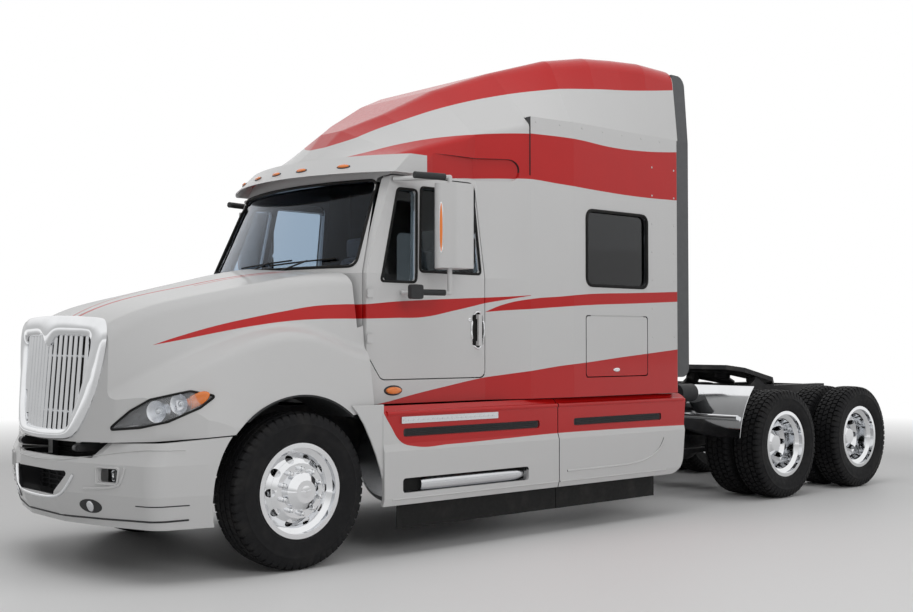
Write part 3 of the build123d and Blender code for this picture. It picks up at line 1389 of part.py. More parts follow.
# Hood: cross sections from the cowl to the nose
HOOD_REAR_AHEAD = -600
HOOD_FRONT_AHEAD = 1300
HOOD_SILL_HEIGHT = 800
HOOD_TOP_HEIGHT = 2000
HOOD_HALF_WIDTH = 1200
HOOD_WALL = 22
HOOD_FLANK_ROUND = 60
HOOD_CREST_ROUND = 90
HOOD_VALLEY_ROUND = 70
HOOD_SHOULDER_ROUND = 110
HOOD_CROWN_ROUND = 900
ARCH_RADIUS = 615
HoodStation = namedtuple(
    "HoodStation",
    "ahead top shoulder_side shoulder valley_side valley crest_side crest flank_side flank",
)
HOOD_STATION_SHARES = [
    HoodStation(-0.03, 1.000, 0.817, 0.945, 0.871, 0.530, 0.917, 0.470, 0.967, 0.130),
    HoodStation(0.158, 0.992, 0.796, 0.928, 0.858, 0.585, 0.933, 0.535, 0.990, 0.130),
    HoodStation(0.316, 0.946, 0.750, 0.888, 0.825, 0.635, 0.935, 0.590, 1.000, 0.130),
    HoodStation(0.526, 0.862, 0.675, 0.815, 0.750, 0.570, 0.892, 0.510, 0.975, 0.110),
    HoodStation(0.711, 0.779, 0.592, 0.745, 0.667, 0.440, 0.817, 0.360, 0.910, 0.090),
    HoodStation(0.868, 0.667, 0.517, 0.635, 0.555, 0.285, 0.700, 0.215, 0.817, 0.060),
    HoodStation(1.000, 0.517, 0.458, 0.485, 0.490, 0.160, 0.583, 0.120, 0.708, 0.025),
]
NOSE_LEAN = 95
NOSE_CENTRE_AHEAD = 1225
NosePlan = namedtuple("NosePlan", "ahead side")
NOSE_PLAN_SHARES = [
    NosePlan(0.970, 0.333),
    NosePlan(0.890, 0.600),
    NosePlan(0.760, 0.800),
    NosePlan(0.540, 0.920),
    NosePlan(0.300, 1.000),
]
NOSE_ROUND = 120
HOOD_HEM_HEIGHT = 880
HOOD_GRILLE_HEM_HEIGHT = 832
HOOD_HEM_REAR_HEIGHT = 1000
COWL_SETOFF = 66


def hood_section(station, inset):
    """One cross section of the hood as an anticlockwise run of points."""
    rise = HOOD_TOP_HEIGHT - HOOD_SILL_HEIGHT
    half = HOOD_HALF_WIDTH
    low = HOOD_SILL_HEIGHT - OVERRUN
    right = [
        (half * station.flank_side, low),
        (half * station.flank_side, HOOD_SILL_HEIGHT + rise * station.flank),
        (half * station.crest_side, HOOD_SILL_HEIGHT + rise * station.crest),
        (half * station.valley_side, HOOD_SILL_HEIGHT + rise * station.valley),
        (half * station.shoulder_side, HOOD_SILL_HEIGHT + rise * station.shoulder),
    ]
    top = [(0, HOOD_SILL_HEIGHT + rise * station.top)]
    left = [(-side, height) for side, height in reversed(right)]
    points = right + top + left
    if not inset:
        return points
    inner = grow(points, -inset)
    inner[0] = (inner[0][0], low - OVERRUN)
    inner[-1] = (inner[-1][0], low - OVERRUN)
    return inner


def hood_loft(inset, rear_overrun):
    """Body of the hood through all its sections."""
    convex = [HOOD_FLANK_ROUND, HOOD_CREST_ROUND]
    side = [0, *convex, HOOD_VALLEY_ROUND, HOOD_SHOULDER_ROUND]
    radii = side + [HOOD_CROWN_ROUND] + side[::-1]
    faces = []
    for index, station in enumerate(HOOD_STATION_SHARES):
        share = station.ahead
        ahead = HOOD_REAR_AHEAD + share * (HOOD_FRONT_AHEAD - HOOD_REAR_AHEAD)
        if index == 0:
            ahead -= rear_overrun
        face = outline(hood_section(station, inset), radii)
        faces.append(cross_plane(ahead) * face)
    return loft(faces)


def nose_face(inset, height):
    """Level outline of the rounded front that trims the hood."""
    front = NOSE_CENTRE_AHEAD - inset
    right = [(front * plan.ahead, HOOD_HALF_WIDTH * plan.side - inset) for plan in NOSE_PLAN_SHARES]
    rear = HOOD_REAR_AHEAD - FRONT_OVERHANG
    side = HOOD_HALF_WIDTH - inset
    points = [
        (rear, -side),
        *[(ahead, -across) for ahead, across in reversed(right)],
        (front, 0),
        *right,
        (rear, side),
    ]
    radii = [0, *[NOSE_ROUND] * 5, NOSE_ROUND * 5, *[NOSE_ROUND] * 5, 0]
    return plan_plane(height) * outline(points, limit_radii(points, radii))


def nose_block(inset):
    """Leaning block that cuts the hood's rounded front."""
    low = HOOD_SILL_HEIGHT - OVERRUN * 2
    high = HOOD_TOP_HEIGHT + OVERRUN
    lean = Vector(-NOSE_LEAN, 0, high - low)
    return extrude(nose_face(inset, low), amount=lean.length, dir=lean)


def cowl_cut(setoff):
    """Space behind the hood's rear edge, curved like the windshield's base."""
    side = COWL_CORNER_SIDE - HOOD_WALL
    corner = DOOR_FRONT_AHEAD + setoff
    arc = ThreePointArc((corner, -side), (COWL_CENTRE_AHEAD + setoff, 0), (corner, side))
    rear = corner - REACH
    run = [(corner, side), (rear, side), (rear, -side), (corner, -side)]
    face = plan_plane(0) * make_face(arc + Polyline(*run))
    return extrude(face, amount=REACH, dir=(0, 0, 1))


# Wheel arch liners
LINER_INNER_SIDE = 780
LINER_OUTER_SIDE = 1172
LINER_WALL = 12

# Headlamps: outline seen along their own level direction
LAMP_TURN = 40
LAMP_TIP_ACROSS = -178
LAMP_LOW = 921
LAMP_WIDTH = 634
LAMP_HEIGHT = 237
LampPoint = namedtuple("LampPoint", "across height")
LAMP_OUTLINE_SHARES = [
    LampPoint(0.000, 0.000),
    LampPoint(0.341, 0.072),
    LampPoint(0.612, 0.224),
    LampPoint(0.880, 0.565),
    LampPoint(1.000, 0.865),
    LampPoint(0.785, 1.000),
    LampPoint(0.437, 0.789),
    LampPoint(0.230, 0.494),
]
LAMP_TIP_ROUND = 10
LAMP_SIDE_ROUND = 60
LAMP_DEPTH = 120


def in_band(shares, half_width, heights):
    """Half outline from its shares of a half width and of a band of heights."""
    rise = heights[1] - heights[0]
    return [(half_width * side, heights[0] + rise * up) for side, up in shares]


def lamp_prism(gap):
    """Prism of the headlamp opening, pointing out and ahead."""
    facing = Vector(cos(radians(LAMP_TURN)), sin(radians(LAMP_TURN)), 0)
    across = Vector(-facing.Y, facing.X, 0)
    plane = Plane(origin=(AXLE_X, 0, 0), x_dir=across, z_dir=facing)
    sides = [LAMP_SIDE_ROUND] * 3
    radii = [LAMP_TIP_ROUND, *sides, LAMP_TIP_ROUND, *sides]
    points = [
        (LAMP_TIP_ACROSS + LAMP_WIDTH * share.across, LAMP_LOW + LAMP_HEIGHT * share.height)
        for share in LAMP_OUTLINE_SHARES
    ]
    face = plane * outline(grow(points, gap), radii)
    return extrude(face, amount=REACH, dir=facing)


# Grille: surround and bars on the nose's leaning face
GRILLE_HALF_WIDTH = 620
GRILLE_TOP = 1625
GRILLE_OUTLINE_SHARES = [(0, 0), (0.677, 0.023), (0.952, 0.401), (1, 0.842), (0.871, 0.956), (0, 1)]
GRILLE_OPENING_HALF_WIDTH = 505
GRILLE_OPENING_HEIGHTS = (880, 1500)
GRILLE_OPENING_SHARES = [
    (0, 0),
    (0.703, 0.024),
    (0.931, 0.435),
    (1, 0.903),
    (0.911, 0.984),
    (0.178, 1),
    (0, 0.952),
]
GRILLE_PROUD = 12
GRILLE_BARS = 8
GRILLE_BAR_WIDTH = 34
GRILLE_BAR_DEPTH = 34
GRILLE_RAIL_HEIGHTS = (1020, 1370)
GRILLE_RAIL_SHARE = 0.7
GRILLE_RAIL_WALL = 12
HOOD_PIVOT_AHEAD = 1170
HOOD_PIVOT_HEIGHT = 800
HOOD_PIVOT_RADIUS = 22
HOOD_PIN_RADIUS = 10
HOOD_LUG_TOP = 930
HOOD_LUG_WALL = 34
HOOD_BRACKET_WALL = 14


def mirrored_outline(half):
    """Full front view outline from its left half, anticlockwise."""
    left = [(-side, height) for side, height in reversed(half) if side > 0]
    return list(half) + left


def make_hood():
    """Hood shell, grille, headlamps and wheel arch liners."""
    rear_limit = block((COWL_AHEAD + PANEL_GAP, FRONT_OVERHANG), (-REACH, REACH), (0, REACH))
    outside = hood_loft(0, 0) & nose_block(0)
    inside = hood_loft(HOOD_WALL, OVERRUN) & nose_block(HOOD_WALL)
    shell = (outside - inside) & rear_limit
    shell -= cowl_cut(COWL_SETOFF)
    arch = rod(point(0, -REACH, TYRE_RADIUS), point(0, REACH, TYRE_RADIUS), ARCH_RADIUS)
    shell -= arch
    hem = side_prism(
        [
            (HOOD_REAR_AHEAD - REACH, 0),
            (FRONT_OVERHANG, 0),
            (FRONT_OVERHANG, HOOD_GRILLE_HEM_HEIGHT),
            (0, HOOD_HEM_HEIGHT + OVERRUN),
            (HOOD_REAR_AHEAD, HOOD_HEM_REAR_HEIGHT),
            (HOOD_REAR_AHEAD - REACH, HOOD_HEM_REAR_HEIGHT),
        ],
        -REACH,
        REACH,
    )
    shell -= hem
    half_opening = in_band(GRILLE_OPENING_SHARES, GRILLE_OPENING_HALF_WIDTH, GRILLE_OPENING_HEIGHTS)
    whole_opening = mirrored_outline(half_opening)
    opening = cross_prism(whole_opening, HOOD_FRONT_AHEAD / 2, FRONT_OVERHANG)
    shell -= opening
    lamp_hole = lamp_prism(0)
    shell -= lamp_hole
    shell -= flip(lamp_hole)
    shell = max(shell.solids(), key=lambda solid: solid.volume)
    lug_outer = FRAME_HALF_WIDTH - SEAT_GAP
    pivot = point(HOOD_PIVOT_AHEAD, lug_outer - HOOD_LUG_WALL, HOOD_PIVOT_HEIGHT)
    pivot_end = point(HOOD_PIVOT_AHEAD, lug_outer, HOOD_PIVOT_HEIGHT)
    pin_end = point(HOOD_PIVOT_AHEAD, FRAME_HALF_WIDTH + HOOD_BRACKET_WALL, HOOD_PIVOT_HEIGHT)
    lug = block(
        (HOOD_PIVOT_AHEAD - HOOD_PIVOT_RADIUS, HOOD_PIVOT_AHEAD + HOOD_PIVOT_RADIUS),
        (lug_outer - HOOD_LUG_WALL, lug_outer),
        (HOOD_PIVOT_HEIGHT, HOOD_LUG_TOP),
    )
    lug = lug & nose_block(HOOD_WALL / 2)
    lug = lug + rod(pivot, pivot_end, HOOD_PIVOT_RADIUS) + rod(pivot, pin_end, HOOD_PIN_RADIUS)
    save("hood_shell", [shell + lug + flip(lug)])
    lamp_body = (outside - (hood_loft(LAMP_DEPTH, OVERRUN) & nose_block(LAMP_DEPTH))) & rear_limit
    lamp = lamp_body & lamp_prism(-SEAT_GAP)
    lamp -= arch
    lamp = max(lamp.solids(), key=lambda solid: solid.volume)
    save("headlamps", pair(lamp))
    surround = nose_block(-GRILLE_PROUD) - nose_block(-SEAT_GAP)
    half_frame = in_band(GRILLE_OUTLINE_SHARES, GRILLE_HALF_WIDTH, (HOOD_GRILLE_HEM_HEIGHT, GRILLE_TOP))
    surround = surround & cross_prism(
        mirrored_outline(half_frame), HOOD_FRONT_AHEAD / 2, FRONT_OVERHANG + OVERRUN
    )
    surround -= cross_prism(whole_opening, HOOD_FRONT_AHEAD / 2, FRONT_OVERHANG + OVERRUN)
    save("grille_surround", surround.solids())
    slab = nose_block(-SEAT_GAP) - nose_block(GRILLE_BAR_DEPTH)
    inner_opening = grow(whole_opening, -SEAT_GAP)
    window = cross_prism(inner_opening, HOOD_FRONT_AHEAD / 2, FRONT_OVERHANG)
    grid = None
    pitch = GRILLE_OPENING_HALF_WIDTH / GRILLE_BARS
    aheads = (HOOD_FRONT_AHEAD / 2, FRONT_OVERHANG)
    heights = (HOOD_SILL_HEIGHT, HOOD_TOP_HEIGHT)
    for index in range(GRILLE_BARS):
        side = pitch * (index + 0.5)
        bar = block(aheads, (side - GRILLE_BAR_WIDTH / 2, side + GRILLE_BAR_WIDTH / 2), heights)
        grid = bar if grid is None else grid + bar
    grid = grid + flip(grid)
    bars = grid & slab & window
    back = nose_block(GRILLE_BAR_DEPTH * GRILLE_RAIL_SHARE) - nose_block(GRILLE_BAR_DEPTH)
    for height in GRILLE_RAIL_HEIGHTS:
        rail = block(aheads, (-HOOD_HALF_WIDTH, HOOD_HALF_WIDTH), (height, height + GRILLE_RAIL_WALL))
        bars += rail & back & window
    save("grille_bars", bars.solids())
    liner = pipe(
        point(0, LINER_INNER_SIDE, TYRE_RADIUS),
        point(0, LINER_OUTER_SIDE, TYRE_RADIUS),
        ARCH_RADIUS - SEAT_GAP,
        ARCH_RADIUS - LINER_WALL,
    )
    liner -= block((-REACH, REACH), (0, REACH), (-REACH, HOOD_HEM_REAR_HEIGHT - OVERRUN))
    save("arch_liners", pair(liner))



# Front bumper: level outlines joined by straight sides
BumperLevel = namedtuple("BumperLevel", "height front face corner_ahead corner_side tail_side")
BUMPER_LOW = 330
BUMPER_BULGE_HEIGHT = 530
BUMPER_RIDGE_HEIGHT = 715
BUMPER_TOP = 930
BUMPER_CENTRE_TOP = 745
BUMPER_SIDE = 1175
BUMPER_FLAT_SIDE = 250
BUMPER_FACE_SIDE = 650
BUMPER_TAIL_AHEAD = 440
BUMPER_WALL = 20
BUMPER_ROUND = 130
BUMPER_RISE_AHEAD = 1060
BUMPER_RISE_RUN = 70
BUMPER_ARCH_GAP = 10
BUMPER_LEVEL_SHARES = [
    BumperLevel(BUMPER_LOW, 0.922, 0.845, 0.740, 0.870, 0.975),
    BumperLevel(BUMPER_BULGE_HEIGHT, 0.992, 0.892, 0.780, 0.900, 1.000),
    BumperLevel(BUMPER_RIDGE_HEIGHT, 0.988, 0.890, 0.778, 0.900, 1.000),
    BumperLevel(BUMPER_TOP, 0.900, 0.810, 0.705, 0.880, 0.990),
]
BUMPER_OPENING_LOW = 505
BUMPER_OPENING_TOP = 658
BUMPER_OPENING_LOW_SIDE = 251
BUMPER_OPENING_TOP_SIDE = 393
FOG_SIDES = (640, 790)
FOG_HEIGHTS = (608, 690)
FOG_ROUND = 18
BUMPER_BRACKET_WIDTH = 70


def bumper_level(level, inset, tail):
    """One level outline of the bumper, moved inwards."""
    side = BUMPER_SIDE * level.tail_side - inset
    corner_side = BUMPER_SIDE * level.corner_side - inset
    corner_ahead = FRONT_OVERHANG * level.corner_ahead - inset
    face_ahead = FRONT_OVERHANG * level.face - inset
    right = [(face_ahead, BUMPER_FACE_SIDE), (corner_ahead, corner_side), (tail, side)]
    points = [
        *[(ahead, -across) for ahead, across in reversed(right)],
        (FRONT_OVERHANG * level.front - inset, -BUMPER_FLAT_SIDE),
        (FRONT_OVERHANG * level.front - inset, BUMPER_FLAT_SIDE),
        *right,
    ]
    radii = [0, *[BUMPER_ROUND] * 6, 0]
    return plan_plane(level.height) * outline(points, limit_radii(points, radii))


def bumper_body(inset, tail):
    """Bumper outside, or the hollow behind its face."""
    levels = [bumper_level(level, inset, tail) for level in BUMPER_LEVEL_SHARES]
    return loft(levels, ruled=True)


def make_bumper():
    """Wrapped front bumper with its air opening, lamps and frame brackets."""
    shell = bumper_body(0, BUMPER_TAIL_AHEAD)
    shell -= bumper_body(BUMPER_WALL, BUMPER_TAIL_AHEAD - OVERRUN)
    slope = (HOOD_HEM_HEIGHT + OVERRUN - HOOD_GRILLE_HEM_HEIGHT) / FRONT_OVERHANG
    rise_height = HOOD_GRILLE_HEM_HEIGHT + slope * (FRONT_OVERHANG - BUMPER_RISE_AHEAD) - PANEL_GAP
    top_cut = side_prism(
        [
            (FRONT_OVERHANG + OVERRUN, BUMPER_CENTRE_TOP),
            (FRONT_OVERHANG + OVERRUN, BUMPER_TOP + REACH),
            (0, BUMPER_TOP + REACH),
            (0, HOOD_HEM_HEIGHT + OVERRUN - PANEL_GAP),
            (BUMPER_RISE_AHEAD, rise_height),
            (BUMPER_RISE_AHEAD + BUMPER_RISE_RUN, BUMPER_CENTRE_TOP),
        ],
        -REACH,
        REACH,
    )
    arch_radius = ARCH_RADIUS + BUMPER_ARCH_GAP
    shell -= rod(point(0, -REACH, TYRE_RADIUS), point(0, REACH, TYRE_RADIUS), arch_radius)
    shell -= top_cut
    front = (FRONT_OVERHANG / 2, FRONT_OVERHANG + OVERRUN)
    middle_opening = [
        (-BUMPER_OPENING_LOW_SIDE, BUMPER_OPENING_LOW),
        (BUMPER_OPENING_LOW_SIDE, BUMPER_OPENING_LOW),
        (BUMPER_OPENING_TOP_SIDE, BUMPER_OPENING_TOP),
        (-BUMPER_OPENING_TOP_SIDE, BUMPER_OPENING_TOP),
    ]
    shell -= cross_prism(middle_opening, *front, [FOG_ROUND] * 4)
    fog = [(FOG_SIDES[0], FOG_HEIGHTS[0]), (FOG_SIDES[1], FOG_HEIGHTS[0])]
    fog += [(side, FOG_HEIGHTS[1]) for side in reversed(FOG_SIDES)]
    for lamp in pair(cross_prism(fog, *front, [FOG_ROUND] * 4)):
        shell -= lamp
    bracket = block(
        (RAIL_FRONT_AHEAD + SEAT_GAP, FRONT_OVERHANG),
        (FRAME_HALF_WIDTH - BUMPER_BRACKET_WIDTH, FRAME_HALF_WIDTH),
        (BUMPER_LOW + OVERRUN, BUMPER_CENTRE_TOP - OVERRUN),
    )
    bracket = bracket & bumper_body(BUMPER_WALL / 2, 0)
    riser = block(
        (RAIL_FRONT_AHEAD + SEAT_GAP, RAIL_FRONT_AHEAD + OVERRUN),
        (FRAME_HALF_WIDTH - BUMPER_BRACKET_WIDTH, FRAME_HALF_WIDTH),
        (BUMPER_LOW + OVERRUN, FRAME_TOP - OVERRUN),
    )
    save("bumper", [shell + bracket + flip(bracket) + riser + flip(riser)])


# Quarter fenders ahead of the drive wheels
QUARTER_RADIUS = 780
QUARTER_WALL = 5
QUARTER_LOW_TURN = 7
QUARTER_TOP_TURN = 45
QUARTER_SIDES = (560, 1220)
QUARTER_POLE_RADIUS = 22
QUARTER_POLE_TURN = 20


def make_quarter_fenders():
    """Curved quarter fender on a pole from the frame, on each side."""
    start = point(FRONT_DRIVE_AHEAD, QUARTER_SIDES[0], TYRE_RADIUS)
    end = point(FRONT_DRIVE_AHEAD, QUARTER_SIDES[1], TYRE_RADIUS)
    ring = pipe(start, end, QUARTER_RADIUS, QUARTER_RADIUS - QUARTER_WALL)
    low = radians(QUARTER_LOW_TURN)
    high = radians(QUARTER_TOP_TURN)
    wedge = [
        (FRONT_DRIVE_AHEAD, TYRE_RADIUS),
        (FRONT_DRIVE_AHEAD + REACH * cos(low), TYRE_RADIUS + REACH * sin(low)),
        (FRONT_DRIVE_AHEAD + REACH * cos(high), TYRE_RADIUS + REACH * sin(high)),
    ]
    fender = ring & side_prism(wedge, 0, REACH)
    turn = radians(QUARTER_POLE_TURN)
    reach = QUARTER_RADIUS + QUARTER_POLE_RADIUS - QUARTER_WALL / 2
    ahead = FRONT_DRIVE_AHEAD + reach * cos(turn)
    height = TYRE_RADIUS + reach * sin(turn)
    pole = rod(
        point(ahead, FRAME_HALF_WIDTH + SEAT_GAP, height),
        point(ahead, QUARTER_SIDES[1] - OVERRUN, height),
        QUARTER_POLE_RADIUS,
    )
    save("quarter_fenders", pair(fender + pole))


# Fifth wheel: tilting plate on its frame base
PLATE_PIVOT_HEIGHT = 1075
PLATE_TOP_ABOVE = 70
PLATE_WALL = 18
PLATE_HALF_WIDTH = 460
PLATE_FRONT = 400
PLATE_REAR = 520
PLATE_CHAMFER = 130
PLATE_TAIL_HALF_WIDTH = 285
PLATE_RAMP = 230
PLATE_TILT = 12
PLATE_SKIRT = 45
THROAT_HALF_WIDTH = 225
LOCK_BORE_RADIUS = 25.7
LOCK_RADIUS = 80
LOCK_DEPTH = 50
PIVOT_RADIUS = 30
PIVOT_BOSS_RADIUS = 48
PIVOT_LUG_WIDTH = 90
PIVOT_EAR_RADIUS = 45
PIVOT_SIDES = (330, 390)
PIVOT_BRACKET_SIDES = (396, 434)
BASE_WALL = 10
BASE_HALF_LENGTH = 300


def plate_outline():
    """Plan of the plate about its pivot, (ahead, side), anticlockwise."""
    return [
        (-PLATE_REAR, -PLATE_TAIL_HALF_WIDTH),
        (-PLATE_RAMP, -PLATE_HALF_WIDTH),
        (PLATE_FRONT - PLATE_CHAMFER, -PLATE_HALF_WIDTH),
        (PLATE_FRONT, -PLATE_HALF_WIDTH + PLATE_CHAMFER),
        (PLATE_FRONT, PLATE_HALF_WIDTH - PLATE_CHAMFER),
        (PLATE_FRONT - PLATE_CHAMFER, PLATE_HALF_WIDTH),
        (-PLATE_RAMP, PLATE_HALF_WIDTH),
        (-PLATE_REAR, PLATE_TAIL_HALF_WIDTH),
    ]


def make_fifth_wheel():
    """Top plate with its throat, lock and ribs, and the base that carries it."""
    top = PLATE_TOP_ABOVE
    full = extrude(outline(plate_outline()), amount=PLATE_SKIRT, dir=(0, 0, 1))
    full = Pos(0, 0, top - PLATE_SKIRT) * full
    inner = extrude(outline(grow(plate_outline(), -PLATE_WALL)), amount=PLATE_SKIRT, dir=(0, 0, 1))
    plate = full - Pos(0, 0, top - PLATE_SKIRT - PLATE_WALL) * inner
    throat = [
        (-PLATE_REAR - OVERRUN, -THROAT_HALF_WIDTH),
        (-LOCK_RADIUS / 2, -LOCK_BORE_RADIUS),
        (-LOCK_RADIUS / 2, LOCK_BORE_RADIUS),
        (-PLATE_REAR - OVERRUN, THROAT_HALF_WIDTH),
    ]
    lock = Pos(0, 0, top - PLATE_WALL - LOCK_DEPTH) * Cylinder(
        LOCK_RADIUS, LOCK_DEPTH, align=(Align.CENTER, Align.CENTER, Align.MIN)
    )
    rib = Pos(0, 0, top - PLATE_SKIRT / 2 - PLATE_WALL / 2) * Box(
        PLATE_WALL, PLATE_HALF_WIDTH * 2 - PLATE_WALL, PLATE_SKIRT - PLATE_WALL
    )
    plate += Pos(PLATE_FRONT / 2, 0, 0) * rib
    plate += lock
    slot = extrude(outline(throat), amount=PLATE_SKIRT + top, dir=(0, 0, 1))
    plate -= Pos(0, 0, -PLATE_SKIRT) * slot
    bore = Cylinder(LOCK_BORE_RADIUS, top * 2)
    plate -= Pos(0, 0, top) * bore
    pivot = rod((0, PIVOT_SIDES[0], 0), (0, PIVOT_SIDES[1], 0), PIVOT_BOSS_RADIUS)
    lug = Box(PIVOT_LUG_WIDTH, PIVOT_SIDES[1] - PIVOT_SIDES[0], top - PLATE_WALL / 2)
    lug = Pos(0, sum(PIVOT_SIDES) / 2, (top - PLATE_WALL / 2) / 2) * lug
    pivot = pivot + lug
    pin = rod((0, PIVOT_SIDES[0], 0), (0, PIVOT_BRACKET_SIDES[1], 0), PIVOT_RADIUS)
    pivot = pivot + pin
    plate = plate + pivot + flip(pivot)
    place = Pos(point(TANDEM_AHEAD, 0, PLATE_PIVOT_HEIGHT)) * Rot(Y=-PLATE_TILT)
    save("fifth_wheel_plate", [place * plate])
    base = block(
        (TANDEM_AHEAD - BASE_HALF_LENGTH, TANDEM_AHEAD + BASE_HALF_LENGTH),
        (FRAME_HALF_WIDTH - RAIL_FLANGE, PIVOT_BRACKET_SIDES[1]),
        (FRAME_TOP, FRAME_TOP + BASE_WALL),
    )
    ear = [
        (TANDEM_AHEAD - BASE_HALF_LENGTH / 2, FRAME_TOP),
        (TANDEM_AHEAD + BASE_HALF_LENGTH / 2, FRAME_TOP),
        (TANDEM_AHEAD + PIVOT_EAR_RADIUS, PLATE_PIVOT_HEIGHT),
        (TANDEM_AHEAD - PIVOT_EAR_RADIUS, PLATE_PIVOT_HEIGHT),
    ]
    base += side_prism(ear, *PIVOT_BRACKET_SIDES)
    base += rod(
        point(TANDEM_AHEAD, PIVOT_BRACKET_SIDES[0], PLATE_PIVOT_HEIGHT),
        point(TANDEM_AHEAD, PIVOT_BRACKET_SIDES[1], PLATE_PIVOT_HEIGHT),
        PIVOT_EAR_RADIUS,
    )
    base -= rod(
        point(TANDEM_AHEAD, 0, PLATE_PIVOT_HEIGHT),
        point(TANDEM_AHEAD, REACH, PLATE_PIVOT_HEIGHT),
        PIVOT_RADIUS + BEARING_GAP,
    )
    save("fifth_wheel_base", pair(base))


# Cab inside: floor, dashboard, steering wheel, seats and bunk
FLOOR_TOP = 1180
FLOOR_WALL = 60
DASH_REAR_AHEAD = -900
DASH_LOW = 1500
DASH_TOP = 1880
SEAT_SIDE = 480
SEAT_WIDTH = 480
SEAT_FRONT_AHEAD = -1180
SEAT_LENGTH = 470
SEAT_HEIGHT = 1620
SEAT_CUSHION = 130
SEAT_BACK_TOP = 2330
SEAT_BACK_WALL = 120
SEAT_BASE_HALF = 160
SEAT_ROUND = 40
WHEEL_CENTRE_AHEAD = -1060
WHEEL_CENTRE_HEIGHT = 1900
WHEEL_RADIUS = 225
WHEEL_RIM_RADIUS = 15
WHEEL_TILT = 35
BUNK_FRONT_AHEAD = -2640
BUNK_TOP = 1700
MATTRESS = 160
DASH_SIDE = 960
HATCH_CLEARANCE = 12
FRONT_POST_AHEAD = -900
REAR_POST_AHEAD = -3610
WHEEL_HUB_RADIUS = 50
WHEEL_HUB_HEIGHT = 45
WHEEL_SPOKE_RADIUS = 10.5
WHEEL_SPOKE_TURNS = (30, 150, 270)
COLUMN_RADIUS = 30
COLUMN_LENGTH = 300


def make_inside():
    """Floor, dashboard, steering wheel, seats and bunk."""
    levels = (FLOOR_TOP - FLOOR_WALL, FLOOR_TOP)
    rear = SLEEPER_REAR_AHEAD + SLEEPER_WALL + SEAT_GAP
    cab_inside = cab_solid(CAB_WALL + SEAT_GAP, CAB_WALL + SEAT_GAP)
    sleeper_inside = plan_prism(
        sleeper_plan(SLEEPER_WALL + SEAT_GAP, FLARE_REAR_AHEAD, rear), SILL_HEIGHT, ROOF_SEAM_HEIGHT
    )
    cab_part = cab_inside & block((FLARE_REAR_AHEAD, 0), (-REACH, REACH), levels)
    sleeper_part = sleeper_inside & block((FLARE_REAR_AHEAD, rear), (-REACH, REACH), levels)
    floor = cab_part + sleeper_part
    for ahead in (FRONT_POST_AHEAD, REAR_POST_AHEAD):
        post = block(
            (ahead - OVERRUN, ahead + OVERRUN),
            (FRAME_HALF_WIDTH - RAIL_FLANGE, FRAME_HALF_WIDTH),
            (FRAME_TOP + SEAT_GAP, FLOOR_TOP - FLOOR_WALL),
        )
        floor += post + flip(post)
    save("cab_floor", [floor])
    side = DASH_SIDE
    dash = block((DASH_REAR_AHEAD, 0), (-side, side), (DASH_LOW, DASH_TOP))
    dash = dash & cab_solid(CAB_WALL + SEAT_GAP, CAB_WALL + SEAT_GAP)
    save("dashboard", [dash])
    tilt = Rot(Y=-WHEEL_TILT)
    place = Pos(point(WHEEL_CENTRE_AHEAD, SEAT_SIDE, WHEEL_CENTRE_HEIGHT)) * tilt
    rim = Torus(WHEEL_RADIUS, WHEEL_RIM_RADIUS)
    hub = Cylinder(WHEEL_HUB_RADIUS, WHEEL_HUB_HEIGHT)
    steering = rim + hub
    for turn in WHEEL_SPOKE_TURNS:
        steering += Rot(Z=turn) * rod((0, 0, 0), (WHEEL_RADIUS, 0, 0), WHEEL_SPOKE_RADIUS)
    steering = place * steering
    column_end = place * Pos(0, 0, -COLUMN_LENGTH)
    column = rod(tuple(place.position), tuple(column_end.position), COLUMN_RADIUS)
    column -= block((DASH_REAR_AHEAD - SEAT_GAP, 0), (-REACH, REACH), (0, REACH))
    steering += column
    save("steering_wheel", [steering])
    seats = []
    for across in (SEAT_SIDE, -SEAT_SIDE):
        sides = (across - SEAT_WIDTH / 2, across + SEAT_WIDTH / 2)
        rear_ahead = SEAT_FRONT_AHEAD - SEAT_LENGTH
        cushion = block((rear_ahead, SEAT_FRONT_AHEAD), sides, (SEAT_HEIGHT - SEAT_CUSHION, SEAT_HEIGHT))
        back_levels = (SEAT_HEIGHT - SEAT_CUSHION, SEAT_BACK_TOP)
        back = block((rear_ahead - SEAT_BACK_WALL, rear_ahead), sides, back_levels)
        cushion = fillet((cushion + back).edges(), SEAT_ROUND)
        middle = (SEAT_FRONT_AHEAD + rear_ahead) / 2
        base = block(
            (middle - SEAT_BASE_HALF, middle + SEAT_BASE_HALF),
            (across - SEAT_BASE_HALF, across + SEAT_BASE_HALF),
            (FLOOR_TOP + SEAT_GAP, SEAT_HEIGHT - SEAT_CUSHION),
        )
        seats.append(cushion + base)
    save("seats", seats)
    bunk_side = SLEEPER_HALF_WIDTH - SLEEPER_WALL - SEAT_GAP - HATCH_CLEARANCE
    bunk = block(
        (rear, BUNK_FRONT_AHEAD), (-bunk_side, bunk_side), (BUNK_TOP, BUNK_TOP + MATTRESS)
    )
    bunk_base = block(
        (rear, BUNK_FRONT_AHEAD), (-bunk_side, bunk_side), (BUNK_TOP - SLEEPER_WALL, BUNK_TOP)
    )
    front_board = block(
        (BUNK_FRONT_AHEAD - SLEEPER_WALL, BUNK_FRONT_AHEAD),
        (-bunk_side, bunk_side),
        (FLOOR_TOP + SEAT_GAP, BUNK_TOP),
    )
    save("bunk", [bunk + bunk_base + front_board])


# Tail lamps at the end of the frame
TAIL_LAMP_RADIUS = 50
TAIL_LAMP_DEPTH = 40
TAIL_LAMP_SIDE = 300
TAIL_LAMP_PITCH = 150
TAIL_BAR_HEIGHT = 900


